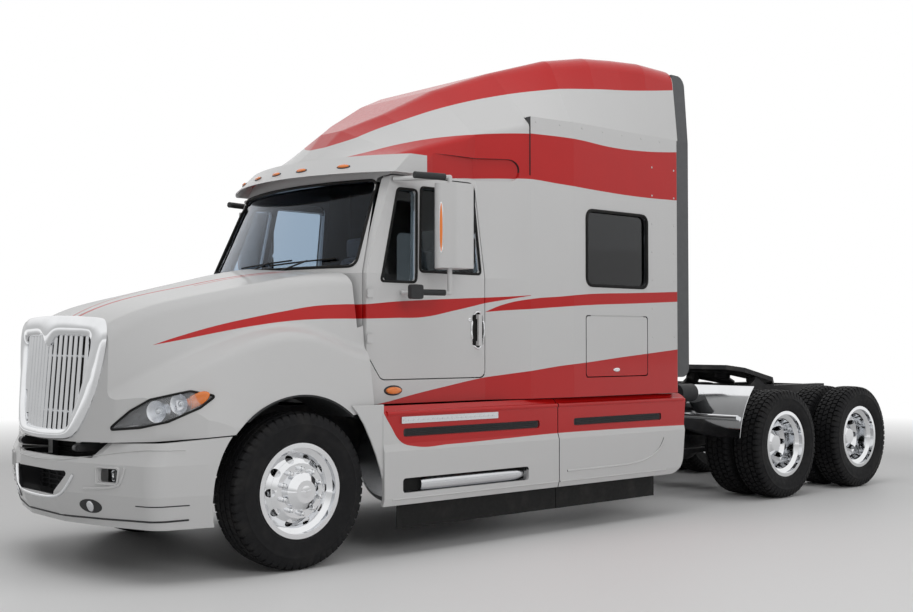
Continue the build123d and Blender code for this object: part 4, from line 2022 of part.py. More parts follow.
def make_tail_lamps():
    """Round tail lamps on the rear face of the frame's end plate."""
    lamps = []
    front = FRAME_REAR_AHEAD + END_PLATE_SETIN - SEAT_GAP
    for side in (TAIL_LAMP_SIDE, TAIL_LAMP_SIDE - TAIL_LAMP_PITCH):
        lamps += pair(
            rod(
                point(front - TAIL_LAMP_DEPTH, side, TAIL_BAR_HEIGHT),
                point(front, side, TAIL_BAR_HEIGHT),
                TAIL_LAMP_RADIUS,
            )
        )
    save("tail_lamps", lamps)


make_frame()
make_front_wheels()
make_drive_wheels()
make_front_axle()
make_knuckles()
make_drive_axles()
make_drive_suspension()
make_engine()
make_driveline()
make_radiator()
make_fuel_tanks()
make_frame_boxes()
make_cab()
make_doors()
make_sleeper()
make_roof()
make_visor()
make_extenders()
make_fairings()
make_hood()
make_bumper()
make_quarter_fenders()
make_fifth_wheel()
make_inside()
make_tail_lamps()
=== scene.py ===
from math import cos, degrees, exp, pi, radians, sin, tau

import bmesh
import bpy
from mathutils import Matrix, Vector
from mathutils.bvhtree import BVHTree


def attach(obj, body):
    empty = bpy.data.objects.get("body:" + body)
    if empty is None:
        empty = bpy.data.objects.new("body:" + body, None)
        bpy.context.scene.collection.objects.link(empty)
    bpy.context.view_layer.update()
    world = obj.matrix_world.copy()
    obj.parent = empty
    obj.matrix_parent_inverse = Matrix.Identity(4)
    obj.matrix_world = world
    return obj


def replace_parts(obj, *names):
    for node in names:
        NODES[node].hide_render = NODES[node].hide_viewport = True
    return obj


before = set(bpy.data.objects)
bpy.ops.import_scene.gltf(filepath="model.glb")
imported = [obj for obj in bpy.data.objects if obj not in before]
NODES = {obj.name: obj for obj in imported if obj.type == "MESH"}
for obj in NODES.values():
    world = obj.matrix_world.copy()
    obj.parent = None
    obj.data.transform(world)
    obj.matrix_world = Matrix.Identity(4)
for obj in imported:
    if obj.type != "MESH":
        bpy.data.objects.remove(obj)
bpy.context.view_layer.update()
scene = bpy.context.scene
scene.view_settings.view_transform = "Standard"

# Driving places, in metres: x ahead, y to the truck's left, z up
FRONT_AXLE = 3.045
REAR_AXLES = {"front": -2.395, "rear": -3.715}
AXLE_HEIGHT = 0.505
FRONT_WHEEL_SIDE = 1.032
DRIVE_TYRE_SIDES = (1.077, 0.747)
DRIVE_HUB_SIDE = 0.912
SIGNS = {"left": 1, "right": -1}
UP = Vector((0, 0, 1))
BACK = (-1, 0, 0)
AHEAD = 6
BESIDE = 3


def at(x):
    """Place along the truck of a distance ahead of the front axle."""
    return x + FRONT_AXLE


# Camera, found from the wheels and the mirrored outlines in the photograph
IMAGE_WIDTH = 913
FOCAL_PIXELS = 1200.87
SENSOR_WIDTH = 36
CAMERA_PLACE = (7.436, 7.560, 1.452)
YAW, PITCH = radians(-131.77), radians(1.75)
camera_data = bpy.data.cameras.new("photo_camera")
camera_data.sensor_width = SENSOR_WIDTH
camera_data.lens = SENSOR_WIDTH * FOCAL_PIXELS / IMAGE_WIDTH
camera_data.clip_end = 200
camera = bpy.data.objects.new("photo_camera", camera_data)
camera.location = CAMERA_PLACE
look = Vector((cos(YAW) * cos(PITCH), sin(YAW) * cos(PITCH), sin(PITCH)))
camera.rotation_euler = look.to_track_quat("-Z", "Y").to_euler()
scene.collection.objects.link(camera)
scene.camera = camera


# Node trees
class Tree:
    """A node tree under construction, with short names for its parts."""

    def __init__(self, tree):
        self.tree = tree

    def node(self, kind, **settings):
        made = self.tree.nodes.new("ShaderNode" + kind)
        for key, value in settings.items():
            setattr(made, key, value)
        return made

    def link(self, source, target):
        self.tree.links.new(source, target)

    def math(self, operation, first, second=0.0, third=0.0, clamp=False):
        made = self.node("Math", operation=operation, use_clamp=clamp)
        for socket, value in zip(made.inputs, (first, second, third)):
            if isinstance(value, (int, float)):
                socket.default_value = value
            else:
                self.link(value, socket)
        return made.outputs[0]

    def times(self, first, second):
        return self.math("MULTIPLY", first, second)

    def spread(self, value, low, high, bottom, top, easing="LINEAR"):
        made = self.node("MapRange", interpolation_type=easing)
        self.link(value, made.inputs["Value"])
        for key, number in (("From Min", low), ("From Max", high), ("To Min", bottom), ("To Max", top)):
            made.inputs[key].default_value = number
        return made.outputs[0]


class Kit(Tree):
    """The node tree of a material, around its main shader."""

    TALLEST = 5
    SHARPNESS = 50

    def __init__(self, name, **settings):
        self.material = bpy.data.materials.new(name)
        self.material.use_nodes = True
        super().__init__(self.material.node_tree)
        self.shader = self.tree.nodes["Principled BSDF"]
        for key, value in settings.items():
            self.shader.inputs[key.replace("_", " ")].default_value = value
        self.coords = None

    def feed(self, key, source):
        self.link(source, self.shader.inputs[key])

    def place(self):
        """Rest coordinates of the surface, which ride along with a moving piece."""
        if self.coords is None:
            self.coords = self.node("TexCoord").outputs["Object"]
        return self.coords

    def axes(self):
        split = self.node("SeparateXYZ")
        self.link(self.place(), split.inputs[0])
        return split.outputs

    def noise(self, scale, detail=3.0, stretch=None):
        made = self.node("TexNoise")
        made.inputs["Scale"].default_value = scale
        made.inputs["Detail"].default_value = detail
        source = self.place()
        if stretch:
            mapping = self.node("Mapping")
            mapping.inputs["Scale"].default_value = stretch
            self.link(source, mapping.inputs[0])
            source = mapping.outputs[0]
        self.link(source, made.inputs["Vector"])
        return made.outputs["Fac"]

    def mix(self, factor, first, second):
        made = self.node("Mix", data_type="RGBA")
        self.link(factor, made.inputs[0])
        for socket, value in ((made.inputs[6], first), (made.inputs[7], second)):
            if isinstance(value, tuple):
                socket.default_value = (*value, 1)
            else:
                self.link(value, socket)
        return made.outputs[2]

    def bump(self, height, strength, distance=0.001):
        made = self.node("Bump")
        made.inputs["Strength"].default_value = strength
        made.inputs["Distance"].default_value = distance
        self.link(height, made.inputs["Height"])
        self.feed("Normal", made.outputs[0])

    def edge(self, across, points):
        """Height of a smooth line through (x, height) points, over the given x."""
        low, high = points[0][0], points[-1][0]
        share = self.spread(across, low, high, 0, 1)
        made = self.node("FloatCurve")
        curve = made.mapping.curves[0]
        for x, height in points[1:-1]:
            curve.points.new((x - low) / (high - low), height / self.TALLEST)
        curve.points[0].location = (0, points[0][1] / self.TALLEST)
        curve.points[-1].location = (1, points[-1][1] / self.TALLEST)
        made.mapping.update()
        self.link(share, made.inputs["Value"])
        return self.times(made.outputs[0], self.TALLEST)

    def inward(self, middle):
        """One where the surface faces a middle point, as the back of a panel does."""
        shift = self.node("VectorMath", operation="SUBTRACT")
        self.link(self.place(), shift.inputs[0])
        shift.inputs[1].default_value = middle
        along = self.node("VectorMath", operation="DOT_PRODUCT")
        self.link(shift.outputs[0], along.inputs[0])
        self.link(self.node("TexCoord").outputs["Normal"], along.inputs[1])
        return self.math("MULTIPLY_ADD", along.outputs["Value"], -self.SHARPNESS, clamp=True)

    def step(self, first, second, soft=0.002):
        """One where first is above second, with a narrow soft edge."""
        gap = self.math("SUBTRACT", first, second)
        return self.math("MULTIPLY_ADD", gap, 1 / soft, 0.5, clamp=True)

    def band(self, across, height, lower, upper, ends=None):
        """One between two lines, and only between the ends where they are given."""
        above = self.step(height, self.edge(across, lower))
        below = self.step(self.edge(across, upper), height)
        inside = self.times(above, below)
        if ends:
            inside = self.times(inside, self.step(across, ends[0]))
            inside = self.times(inside, self.step(self.times(across, -1), -ends[1]))
        return inside

    def either(self, masks):
        """One where any of the masks is."""
        total = masks[0]
        for mask in masks[1:]:
            total = self.math("MAXIMUM", total, mask)
        return total


# Paint: silver with red stripes, whose edges are smooth lines through measured places
SILVER = (0.56, 0.56, 0.56)
RED = (0.48, 0.006, 0.006)
# Dark colour of the bare backs of the panels, which also serves as painted shade inside the cab, in
# recesses and on the hood's pivot lugs
LINING_AND_SHADE = (0.030, 0.030, 0.033)
DUST = (0.20, 0.185, 0.165)
SLEEPER_REAR = -3.796


def shade(colour, share):
    return tuple(v * share for v in colour)


def line(*points):
    """Stripe edge through (distance ahead of the front axle, height) points."""
    return sorted((at(x), z) for x, z in points)


ROOF_LOW = line(
    (-0.7, 2.7), (-0.83, 2.865), (-1.06, 3.005), (-1.37, 3.15), (-1.73, 3.287), (-2.02, 3.366),
    (-2.4, 3.438), (-2.85, 3.495), (-3.35, 3.548), (-3.8, 3.612),
)
ROOF_HIGH = line(
    (-0.7, 2.99), (-1.0, 3.05), (-1.13, 3.16), (-1.3, 3.27), (-1.55, 3.4), (-1.8, 3.53), (-2.1, 3.75),
    (-3.8, 3.95),
)
BAND_LOW = line(
    (-0.6, 2.735), (-0.97, 2.715), (-1.15, 2.685), (-1.37, 2.66), (-1.65, 2.683), (-2.07, 2.692),
    (-2.36, 2.677), (-2.81, 2.659), (-3.3, 2.651), (-3.8, 2.662),
)
BAND_HIGH = line(
    (-0.63, 2.744), (-0.73, 2.768), (-0.89, 2.827), (-1.17, 2.917), (-1.55, 2.996), (-1.87, 3.031),
    (-2.16, 3.041), (-2.58, 3.041), (-2.93, 3.024), (-3.31, 3.032), (-3.8, 3.074),
)
BELT_LOW = line(
    (0.826, 1.437), (0.644, 1.475), (0.434, 1.52), (0.213, 1.562), (-0.023, 1.594), (-0.246, 1.609),
    (-0.446, 1.614), (-0.605, 1.616), (-0.852, 1.624), (-1.113, 1.634), (-1.384, 1.682), (-1.549, 1.714),
    (-1.706, 1.746), (-1.899, 1.779), (-2.071, 1.807),
)
BELT_HIGH = line(
    (0.826, 1.438), (0.67, 1.494), (0.458, 1.558), (0.236, 1.611), (0.0, 1.659), (-0.22, 1.696),
    (-0.455, 1.712), (-0.605, 1.716), (-0.851, 1.738), (-1.112, 1.755), (-1.452, 1.774), (-1.706, 1.787),
    (-1.899, 1.798), (-2.071, 1.811),
)
TAIL_LOW = line(
    (-1.7, 1.679), (-1.859, 1.693), (-2.071, 1.706), (-2.358, 1.727), (-2.685, 1.748), (-3.232, 1.772),
    (-3.8, 1.799),
)
TAIL_HIGH = line(
    (-1.7, 1.68), (-1.859, 1.741), (-2.071, 1.782), (-2.358, 1.807), (-2.685, 1.835), (-3.233, 1.858),
    (-3.8, 1.883),
)
SKIRT_LOW = line(
    (-0.6, 1.04), (-0.637, 0.973), (-0.688, 0.897), (-0.775, 0.784), (-0.901, 0.742), (-1.221, 0.739),
    (-1.711, 0.748), (-2.298, 0.76), (-2.813, 0.76), (-3.304, 0.757), (-3.95, 0.75),
)
SKIRT_HIGH = line(
    (-0.6, 1.02), (-0.739, 1.037), (-1.031, 1.091), (-1.308, 1.137), (-1.658, 1.191), (-1.858, 1.215),
    (-2.07, 1.239), (-2.356, 1.273), (-2.682, 1.3), (-3.042, 1.333), (-3.408, 1.363), (-3.8, 1.396),
)
STRIPES = [
    (ROOF_LOW, ROOF_HIGH, None),
    (BAND_LOW, BAND_HIGH, (at(-3.95), at(-0.60))),
    (BELT_LOW, BELT_HIGH, (at(-2.071), at(0.826))),
    (TAIL_LOW, TAIL_HIGH, (at(-3.95), at(-1.70))),
    (SKIRT_LOW, SKIRT_HIGH, (at(-3.95), at(-0.60))),
]

# Fine lines on the hood: distance from the middle by place, then shift, half width and front end of each
HOOD_LINE = [
    (-0.299, 0.509), (-0.12, 0.405), (0.088, 0.289), (0.354, 0.214), (0.543, 0.149), (0.729, 0.1),
    (0.953, 0.06), (1.2, 0.045),
]
HOOD_PAIR = ((0.0, 0.020, 1.20), (0.075, 0.012, 0.30))
HOOD_LINE_LOW = 1.60
# Height, and distance from the middle, within which the hood's pivot lugs get painted shade
LUG_SHADE_TOP, LUG_SHADE_SIDE = 0.832, 0.52


def stripes(kit):
    """Mask of the red stripes that run over the cab, sleeper, hood and fairings."""
    x, y, z = kit.axes()
    return kit.either([kit.band(x, z, *stripe) for stripe in STRIPES])


def hood_lines(kit):
    """Mask of the narrow red lines that run along the top of the hood."""
    x, y, z = kit.axes()
    across = kit.math("ABSOLUTE", y)
    bands = []
    for shift, half, front in HOOD_PAIR:
        low = line(*((a, b + shift - half) for a, b in HOOD_LINE))
        high = line(*((a, b + shift + half) for a, b in HOOD_LINE))
        bands.append(kit.band(x, across, low, high, (at(HOOD_LINE[0][0]), at(front))))
    return kit.times(kit.either(bands), kit.step(z, HOOD_LINE_LOW))


def paint_material(name, striped=False, middle=None, rear=None, hood=False):
    """Silver paint. The panels are darkened where they face the middle, partly as the darker bare backs of
    the panels and partly as painted shade inside the cab and in recesses, the stripes stop at the rear,
    and the hood has its fine lines and painted shade on its pivot lugs.
    """
    kit = Kit(name, Roughness=0.34, Specular_IOR_Level=0.3, Coat_Weight=0.35, Coat_Roughness=0.06)
    colour = kit.mix(kit.noise(3.5), SILVER, shade(SILVER, 0.97))
    flakes = kit.spread(kit.noise(2600, 1), 0.35, 0.7, 0, 1)
    colour = kit.mix(flakes, colour, shade(SILVER, 1.08))
    if striped:
        red = kit.mix(kit.noise(4), RED, shade(RED, 0.9))
        mask = kit.either([stripes(kit), hood_lines(kit)]) if hood else stripes(kit)
        if rear:
            mask = kit.times(mask, kit.step(kit.axes()[0], at(rear)))
        colour = kit.mix(mask, colour, red)
    # Painted shade, in part: faces towards the middle take the dark colour, partly as the bare backs of
    # the panels and partly as shade inside the cab and in the bumper and skirt recesses
    if middle:
        colour = kit.mix(kit.inward(middle), colour, LINING_AND_SHADE)
    # Painted shade: the hood's pivot lugs, low at its front, are darkened like the shaded slot between
    # chin and bumper
    if hood:
        x, y, z = kit.axes()
        lug = kit.times(kit.step(LUG_SHADE_TOP, z), kit.step(LUG_SHADE_SIDE, kit.math("ABSOLUTE", y)))
        colour = kit.mix(lug, colour, LINING_AND_SHADE)
    kit.feed("Base Color", colour)
    kit.feed("Roughness", kit.spread(kit.noise(38), 0.3, 0.7, 0.3, 0.38))
    kit.bump(kit.noise(55, 1), 0.04)
    return kit.material


def metal_material(name, colour, rough, grain=(1, 1, 1), scale=30, bump=0.03, spread=0.05):
    kit = Kit(name, Metallic=1.0)
    kit.feed("Base Color", kit.mix(kit.noise(scale / 4, 4), colour, shade(colour, 0.86)))
    kit.feed("Roughness", kit.spread(kit.noise(scale, 5, grain), 0.25, 0.75, rough, rough + spread))
    kit.bump(kit.noise(scale * 6, 3, grain), bump)
    return kit.material


def plain_material(name, colour, rough, scale=60, bump=0.15, metallic=0.0, dust=0.0, shine=0.3):
    kit = Kit(name, Metallic=metallic, Specular_IOR_Level=shine)
    tone = kit.mix(kit.noise(scale / 8, 5), colour, shade(colour, 0.75))
    if dust:
        tone = kit.mix(kit.spread(kit.noise(7, 6), 0.5, 0.8, 0, dust), tone, DUST)
    kit.feed("Base Color", tone)
    kit.feed("Roughness", kit.spread(kit.noise(scale / 3, 4), 0.3, 0.7, rough - 0.06, rough + 0.08))
    kit.bump(kit.noise(scale * 8, 4), bump)
    return kit.material


def glass_material(name, colour, bend=1.22):
    kit = Kit(name, Base_Color=(*colour, 1), Roughness=0.02, IOR=bend, Transmission_Weight=1.0)
    kit.bump(kit.noise(2.5, 1), 0.02)
    return kit.material


def clear_material(name):
    kit = Kit(name, Base_Color=(0.95, 0.97, 1.0, 1), Roughness=0.03, Alpha=0.12)
    kit.bump(kit.noise(40, 1), 0.01)
    return kit.material


def lens_material(name, colour):
    kit = Kit(name, Base_Color=(*colour, 1), Roughness=0.12, Coat_Weight=1.0)
    kit.bump(kit.noise(260, 1), 0.2)
    return kit.material


def weave_material(name, colour, scale=420):
    kit = Kit(name, Roughness=0.85, Sheen_Weight=0.25)
    x, y, z = kit.axes()
    threads = kit.math("SINE", kit.times(kit.math("ADD", x, z), scale))
    crossing = kit.math("SINE", kit.times(kit.math("ADD", y, z), scale))
    weave = kit.times(threads, crossing)
    tone = kit.mix(kit.spread(weave, -1, 1, 0, 1), colour, shade(colour, 0.6))
    tone = kit.mix(kit.spread(kit.noise(9), 0.4, 0.8, 0, 0.5), tone, shade(colour, 1.25))
    kit.feed("Base Color", tone)
    kit.bump(weave, 0.4, 0.0006)
    return kit.material


PAINT = paint_material("body_paint", True, (at(-1.9), 0, 2.0), SLEEPER_REAR)
HOOD_PAINT = paint_material("hood_paint", True, (at(-0.2), 0, 1.0), hood=True)
SKIRT_PAINT = paint_material("skirt_paint", True, (at(-2.0), 0, 0.3))
BUMPER_PAINT = paint_material("bumper_paint", False, (at(0.2), 0, 0.55))
PLAIN_PAINT = paint_material("plain_paint")
CHROME = metal_material("bright_chrome", (0.86, 0.87, 0.885), 0.05)
ALLOY = metal_material("tank_alloy", (0.70, 0.71, 0.73), 0.2, (1, 1, 12), 25)
RADIATOR = metal_material("radiator_alloy", (0.30, 0.31, 0.32), 0.4)
BLACK = plain_material("chassis_black", (0.022, 0.022, 0.024), 0.45, dust=0.25)
CAST = plain_material("cast_steel", (0.045, 0.045, 0.048), 0.6, 90, 0.35, metallic=0.4, dust=0.35)
PLASTIC = plain_material("dark_plastic", (0.035, 0.036, 0.038), 0.55, 140, 0.25)
TRIM = plain_material("grey_trim", (0.11, 0.113, 0.118), 0.5, 140, 0.15)
LAMP_BLACK = plain_material("lamp_black", (0.012, 0.012, 0.016), 0.2, 140, 0.05)
RUBBER = plain_material("black_rubber", (0.014, 0.014, 0.014), 0.7, 110, 0.3, dust=0.08, shine=0.2)
TYRE = plain_material("tyre_rubber", (0.009, 0.009, 0.010), 0.62, 90, 0.25, dust=0.06, shine=0.2)
GLASS = glass_material("tinted_glass", (0.46, 0.52, 0.54))
FRONT_GLASS = glass_material("windshield_glass", (0.60, 0.71, 0.88))
DARK_GLASS = glass_material("dark_glass", (0.10, 0.11, 0.12), 1.6)
CLEAR = clear_material("clear_glass")
REFLECTOR = metal_material("lamp_reflector", (0.90, 0.92, 0.96), 0.28, bump=0.0)
MIRROR = metal_material("mirror_glass", (0.62, 0.65, 0.68), 0.01, bump=0.0, spread=0.01)
FABRIC = weave_material("seat_fabric", (0.15, 0.14, 0.13))
AMBER = lens_material("amber_lens", (0.85, 0.20, 0.01))
RED_LENS = lens_material("red_lens", (0.45, 0.008, 0.008))

# Looks of the CAD nodes: by the material that the frame gives, or by node
def look_name(material):
    """Name of a look without the number that Blender adds to a name in use."""
    return material.name.split(".")[0]


CAD_LOOKS = (PAINT, BLACK, CAST, RADIATOR, ALLOY, CHROME, PLASTIC, GLASS, RUBBER, TYRE, FABRIC)
FINISHES = {look_name(look): look for look in CAD_LOOKS}
FINISHES["lamp_plastic"] = CHROME
SPECIAL = {
    "windshield": FRONT_GLASS, "sleeper_glass": DARK_GLASS, "bumper": BUMPER_PAINT,
    "hood_shell": HOOD_PAINT, "side_fairings": SKIRT_PAINT, "sun_visor": PLAIN_PAINT,
    "door_left_mirror": PLAIN_PAINT, "door_right_mirror": PLAIN_PAINT, "side_extenders": TRIM,
    "tail_lamps": RED_LENS, "arch_liners": PLASTIC,
}
# Every CAD node takes its special look, or the look whose name is in the name of its given material, or
# dark plastic
for name, node in NODES.items():
    given = node.material_slots[0].material.name if node.material_slots else ""
    finish = SPECIAL.get(name) or next((m for key, m in FINISHES.items() if key in given), PLASTIC)
    if not node.material_slots:
        node.data.materials.append(finish)
    for slot in node.material_slots:
        slot.material = finish


# Making pieces
def dress(made, body):
    """Let a new object ride on its body."""
    scene.collection.objects.link(made)
    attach(made, body)
    return made


def finish_piece(name, bm, body, material, sharp=35, bevel=0.0):
    """Turn a finished bmesh into an object that rides on its body."""
    bmesh.ops.recalc_face_normals(bm, faces=bm.faces)
    mesh = bpy.data.meshes.new(name)
    bm.to_mesh(mesh)
    bm.free()
    mesh.shade_smooth()
    mesh.set_sharp_from_angle(angle=radians(sharp))
    mesh.materials.append(material)
    made = bpy.data.objects.new(name, mesh)
    if bevel:
        edge = made.modifiers.new("edge", "BEVEL")
        edge.width, edge.segments, edge.limit_method = bevel, 2, "ANGLE"
    return dress(made, body)


def piece(name, body, material, build, *details, sharp=35, bevel=0.0):
    """Piece whose mesh one building function makes."""
    bm = bmesh.new()
    build(bm, *details)
    return finish_piece(name, bm, body, material, sharp, bevel)


def thicken(made, wall, offset=-1):
    solid = made.modifiers.new("wall", "SOLIDIFY")
    solid.thickness, solid.offset = wall, offset


def join(bm, first, second, closed=True):
    """Faces between two rows of points."""
    count = len(first)
    for k in range(count if closed else count - 1):
        after = (k + 1) % count
        bm.faces.new((first[k], first[after], second[after], second[k]))


def loft(bm, rings):
    """Closed solid over rings of places."""
    rows = [[bm.verts.new(p) for p in ring] for ring in rings]
    for first, second in zip(rows, rows[1:]):
        join(bm, first, second)
    bm.faces.new(rows[0][::-1])
    bm.faces.new(rows[-1])


def lathe(bm, profile, centre, segments, sign=1):
    """Turn a (radius, side) profile about an axle, and give its rows of points."""
    x, y, z = centre
    rings = []
    for k in range(segments):
        turn = tau * k / segments
        places = [(x + r * cos(turn), y + sign * side, z + r * sin(turn)) for r, side in profile]
        rings.append([bm.verts.new(place) for place in places])
    for k in range(segments):
        join(bm, rings[k], rings[(k + 1) % segments], closed=False)
    return rings


def turned(bm, profile, place, axis, steps=32):
    """Turn a (radius, along) profile about an axis that starts at a place, and give its last ring."""
    frame_of = Matrix.Translation(place) @ Vector(axis).to_track_quat("Z", "Y").to_matrix().to_4x4()
    last = None
    for radius, along in profile:
        ring = []
        for k in range(steps):
            turn = tau * k / steps
            ring.append(bm.verts.new(frame_of @ Vector((radius * cos(turn), radius * sin(turn), along))))
        if last:
            join(bm, last, ring)
        last = ring
    return last


def plate(bm, outline, push):
    """Plate with the outline's corner points, pushed out by a vector."""
    loft(bm, [outline, [Vector(p) + Vector(push) for p in outline]])


BACKING = 0.004


def rectangle(axis, level, low, high):
    """Corners of a rectangle that lies across an axis at a level, from its low and high corners."""
    corners = []
    for pair in (low, (high[0], low[1]), high, (low[0], high[1])):
        corner = list(pair)
        corner.insert(axis, level)
        corners.append(tuple(corner))
    return corners


def rounded(points, radius, steps=5):
    """Outline with each corner turned into a short arc of points."""
    made = []
    count = len(points)
    for k, corner in enumerate(points):
        here = Vector(corner)
        back = Vector(points[k - 1]) - here
        ahead = Vector(points[(k + 1) % count]) - here
        cut = min(radius, back.length * 0.49, ahead.length * 0.49)
        start, end = here + back.normalized() * cut, here + ahead.normalized() * cut
        for step in range(steps + 1):
            share = step / steps
            made.append(tuple(start.lerp(here, share).lerp(here.lerp(end, share), share)))
    return made


def tube(name, points, radius, body, material, smooth=False, ring=False):
    """Bar, seal or hose along a line of points."""
    data = bpy.data.curves.new(name, "CURVE")
    data.dimensions = "3D"
    data.bevel_depth = radius
    data.bevel_resolution = 3
    data.use_fill_caps = True
    spline = data.splines.new("NURBS" if smooth else "POLY")
    spline.points.add(len(points) - 1)
    for point, place in zip(spline.points, points):
        point.co = (*place, 1)
    if smooth:
        spline.order_u = 3
        spline.use_endpoint_u = not ring
    spline.use_cyclic_u = ring
    data.materials.append(material)
    return dress(bpy.data.objects.new(name, data), body)


def studs(name, places, normal, radius, height, body, material, sides=10):
    """Row of rivets or grips as one piece."""
    bm = bmesh.new()
    for place in places:
        dome = [(radius, 0), (radius, height * 0.45), (radius * 0.62, height * 0.9)]
        bm.faces.new(turned(bm, dome, place, normal, sides))
    return finish_piece(name, bm, body, material, 50)


def bars(bm, rows, half):
    """Slim bars, each from one point to another, as thin boxes."""
    for start, end in rows:
        start, end = Vector(start), Vector(end)
        along = (end - start).normalized()
        side = along.orthogonal().normalized() * half
        up = along.cross(side).normalized() * half
        corners = [side * a + up * b for a, b in ((1, 1), (-1, 1), (-1, -1), (1, -1))]
        loft(bm, [[start + c for c in corners], [end + c for c in corners]])


LENS_SECTION = ((1.0, -0.3), (1.0, 0.35), (0.93, 0.7), (0.75, 0.92), (0.4, 1.0))


def lens(bm, centre, axes, size, height, steps=20):
    """Domed lens with an oval outline: axes are (long, short, outward)."""
    long, short, out = (Vector(a).normalized() for a in axes)
    rings = []
    for share, up in LENS_SECTION:
        ring = []
        for k in range(steps):
            turn = tau * k / steps
            across = long * (size[0] * share * cos(turn)) + short * (size[1] * share * sin(turn))
            ring.append(Vector(centre) + across + out * (height * up))
        rings.append(ring)
    loft(bm, rings)


# Tyres, with ribs or lugs by axle, in place of the plain solids: rows of (radius, side, kind)
TYRE_ROWS = [
    (0.289, -0.1, 0), (0.293, -0.108, 0), (0.304, -0.113, 0), (0.322, -0.121, 0), (0.326, -0.1245, 0),
    (0.33, -0.1245, 0), (0.334, -0.1255, 0), (0.365, -0.1345, 0), (0.395, -0.138, 0), (0.418, -0.1375, 0),
    (0.421, -0.1392, 0), (0.426, -0.1392, 0), (0.429, -0.1365, 0), (0.447, -0.1335, 1), (0.463, -0.13, 2),
    (0.48, -0.1255, 3), (0.493, -0.119, 4), (0.4985, -0.11, 4), (0.501, -0.088, 4), (0.488, -0.086, 0),
    (0.488, -0.078, 0), (0.5025, -0.076, 5), (0.504, -0.056, 5), (0.5045, -0.035, 5), (0.49, -0.033, 0),
    (0.49, -0.025, 0), (0.505, -0.023, 6), (0.505, -0.008, 6),
]
TYRE_PROFILE = TYRE_ROWS + [(r, -s, kind) for r, s, kind in reversed(TYRE_ROWS)]
NOTCH = {
    "steer": {1: 0.002, 2: 0.006, 3: 0.010, 4: 0.010, 5: 0.003, 6: 0.003},
    "drive": {1: 0.003, 2: 0.010, 3: 0.016, 4: 0.018, 5: 0.012, 6: 0.012},
}
LUGS = 56
LUG_STEPS = (0.0, 0.05, 0.78, 0.83)
ROW_SHIFT = {5: 0.45, 6: 0.15}
FAR_SIDE_SHIFT = 0.3
NUTS, NUT_CIRCLE = 10, 0.142
NUT_COVER = [
    (0.0175, 0.0), (0.0175, 0.016), (0.0135, 0.022), (0.0135, 0.04), (0.009, 0.046), (0.001, 0.047),
]


def tyre_piece(name, body, centres, kind, node):
    """Tyre or twin tyres whose lug rows drop into the grooves between the lugs."""
    bm = bmesh.new()
    for centre in centres:
        rings = lathe(bm, [row[:2] for row in TYRE_PROFILE], centre, LUGS * len(LUG_STEPS))
        for k, ring in enumerate(rings):
            lug, step = divmod(k, len(LUG_STEPS))
            groove = step in (0, len(LUG_STEPS) - 1)
            for point, (radius, side, row) in zip(ring, TYRE_PROFILE):
                shift = (FAR_SIDE_SHIFT if side > 0 else 0) + ROW_SHIFT.get(row, 0) if row else 0
                turn = tau * (lug + LUG_STEPS[step] + shift) / LUGS
                reach = radius - (NOTCH[kind].get(row, 0) if groove else 0)
                point.co = (centre[0] + reach * cos(turn), centre[1] + side, centre[2] + reach * sin(turn))
    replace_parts(finish_piece(name, bm, body, TYRE, 32), node)


def hub_cover(name, body, centre, sign, *, face, radius, reach):
    """Domed cover over the hub with its ring of covered nuts."""
    bm = bmesh.new()
    dome = [(radius + 0.006, face - 0.001), (radius + 0.006, face + 0.004)]
    dome += [(radius, face), (radius, face + reach * 0.35), (radius * 0.93, face + reach * 0.42)]
    for step in range(7):
        turn = pi / 2 * step / 6
        dome.append((radius * 0.86 * cos(turn) + 0.002, face + reach * (0.42 + 0.58 * sin(turn))))
    lathe(bm, dome, centre, 48, sign)
    for k in range(NUTS):
        turn = tau * (k + 0.5) / NUTS
        middle = (centre[0] + NUT_CIRCLE * cos(turn), centre[1], centre[2] + NUT_CIRCLE * sin(turn))
        lathe(bm, [(r, face + s) for r, s in NUT_COVER], middle, 12, sign)
    finish_piece(name, bm, body, CHROME, 30)


for hand, sign in SIGNS.items():
    body = "front_wheel_" + hand
    centre = (FRONT_AXLE, FRONT_WHEEL_SIDE * sign, AXLE_HEIGHT)
    tyre_piece("front_tyre_ribbed_" + hand, body, [centre], "steer", "front_tyre_" + hand)
    hub_cover("front_hub_cover_" + hand, body, centre, sign, face=0.110, radius=0.092, reach=0.075)
    for axle, x in REAR_AXLES.items():
        spot = f"{axle}_{hand}"
        body = "drive_wheel_" + spot
        centres = [(x, side * sign, AXLE_HEIGHT) for side in DRIVE_TYRE_SIDES]
        tyre_piece("drive_tyres_lugged_" + spot, body, centres, "drive", "drive_tyres_" + spot)
        centre = (x, DRIVE_HUB_SIDE * sign, AXLE_HEIGHT)
        hub_cover("drive_hub_cover_" + spot, body, centre, sign, face=0.022, radius=0.112, reach=0.150)


# Trim that sits on the CAD surfaces, found by casting rays onto them
SEAL_EDGE = 0.007
TREES = {}


def tree_of(node):
    """Search tree of a node's CAD surface, made once."""
    if node not in TREES:
        bm = bmesh.new()
        bm.from_mesh(NODES[node].data)
        TREES[node] = BVHTree.FromBMesh(bm)
        bm.free()
    return TREES[node]


def seat(nodes, start, direction, lift=0.0, middle=None):
    """Point where a ray meets the nodes, lifted off the surface, and the surface's normal."""
    start, direction = Vector(start), Vector(direction)
    hits = [tree_of(node).ray_cast(start, direction.normalized()) for node in nodes]
    hits = [hit for hit in hits if hit[0] is not None]
    if not hits and middle is not None:
        return seat(nodes, start.lerp(middle, 0.01), direction, lift, middle)
    if not hits:
        raise SystemExit(f"nothing under {start} on {nodes}")
    place, normal = min(hits, key=lambda hit: hit[3])[:2]
    if normal.dot(direction) > 0:
        normal = -normal
    return place + normal * lift, normal


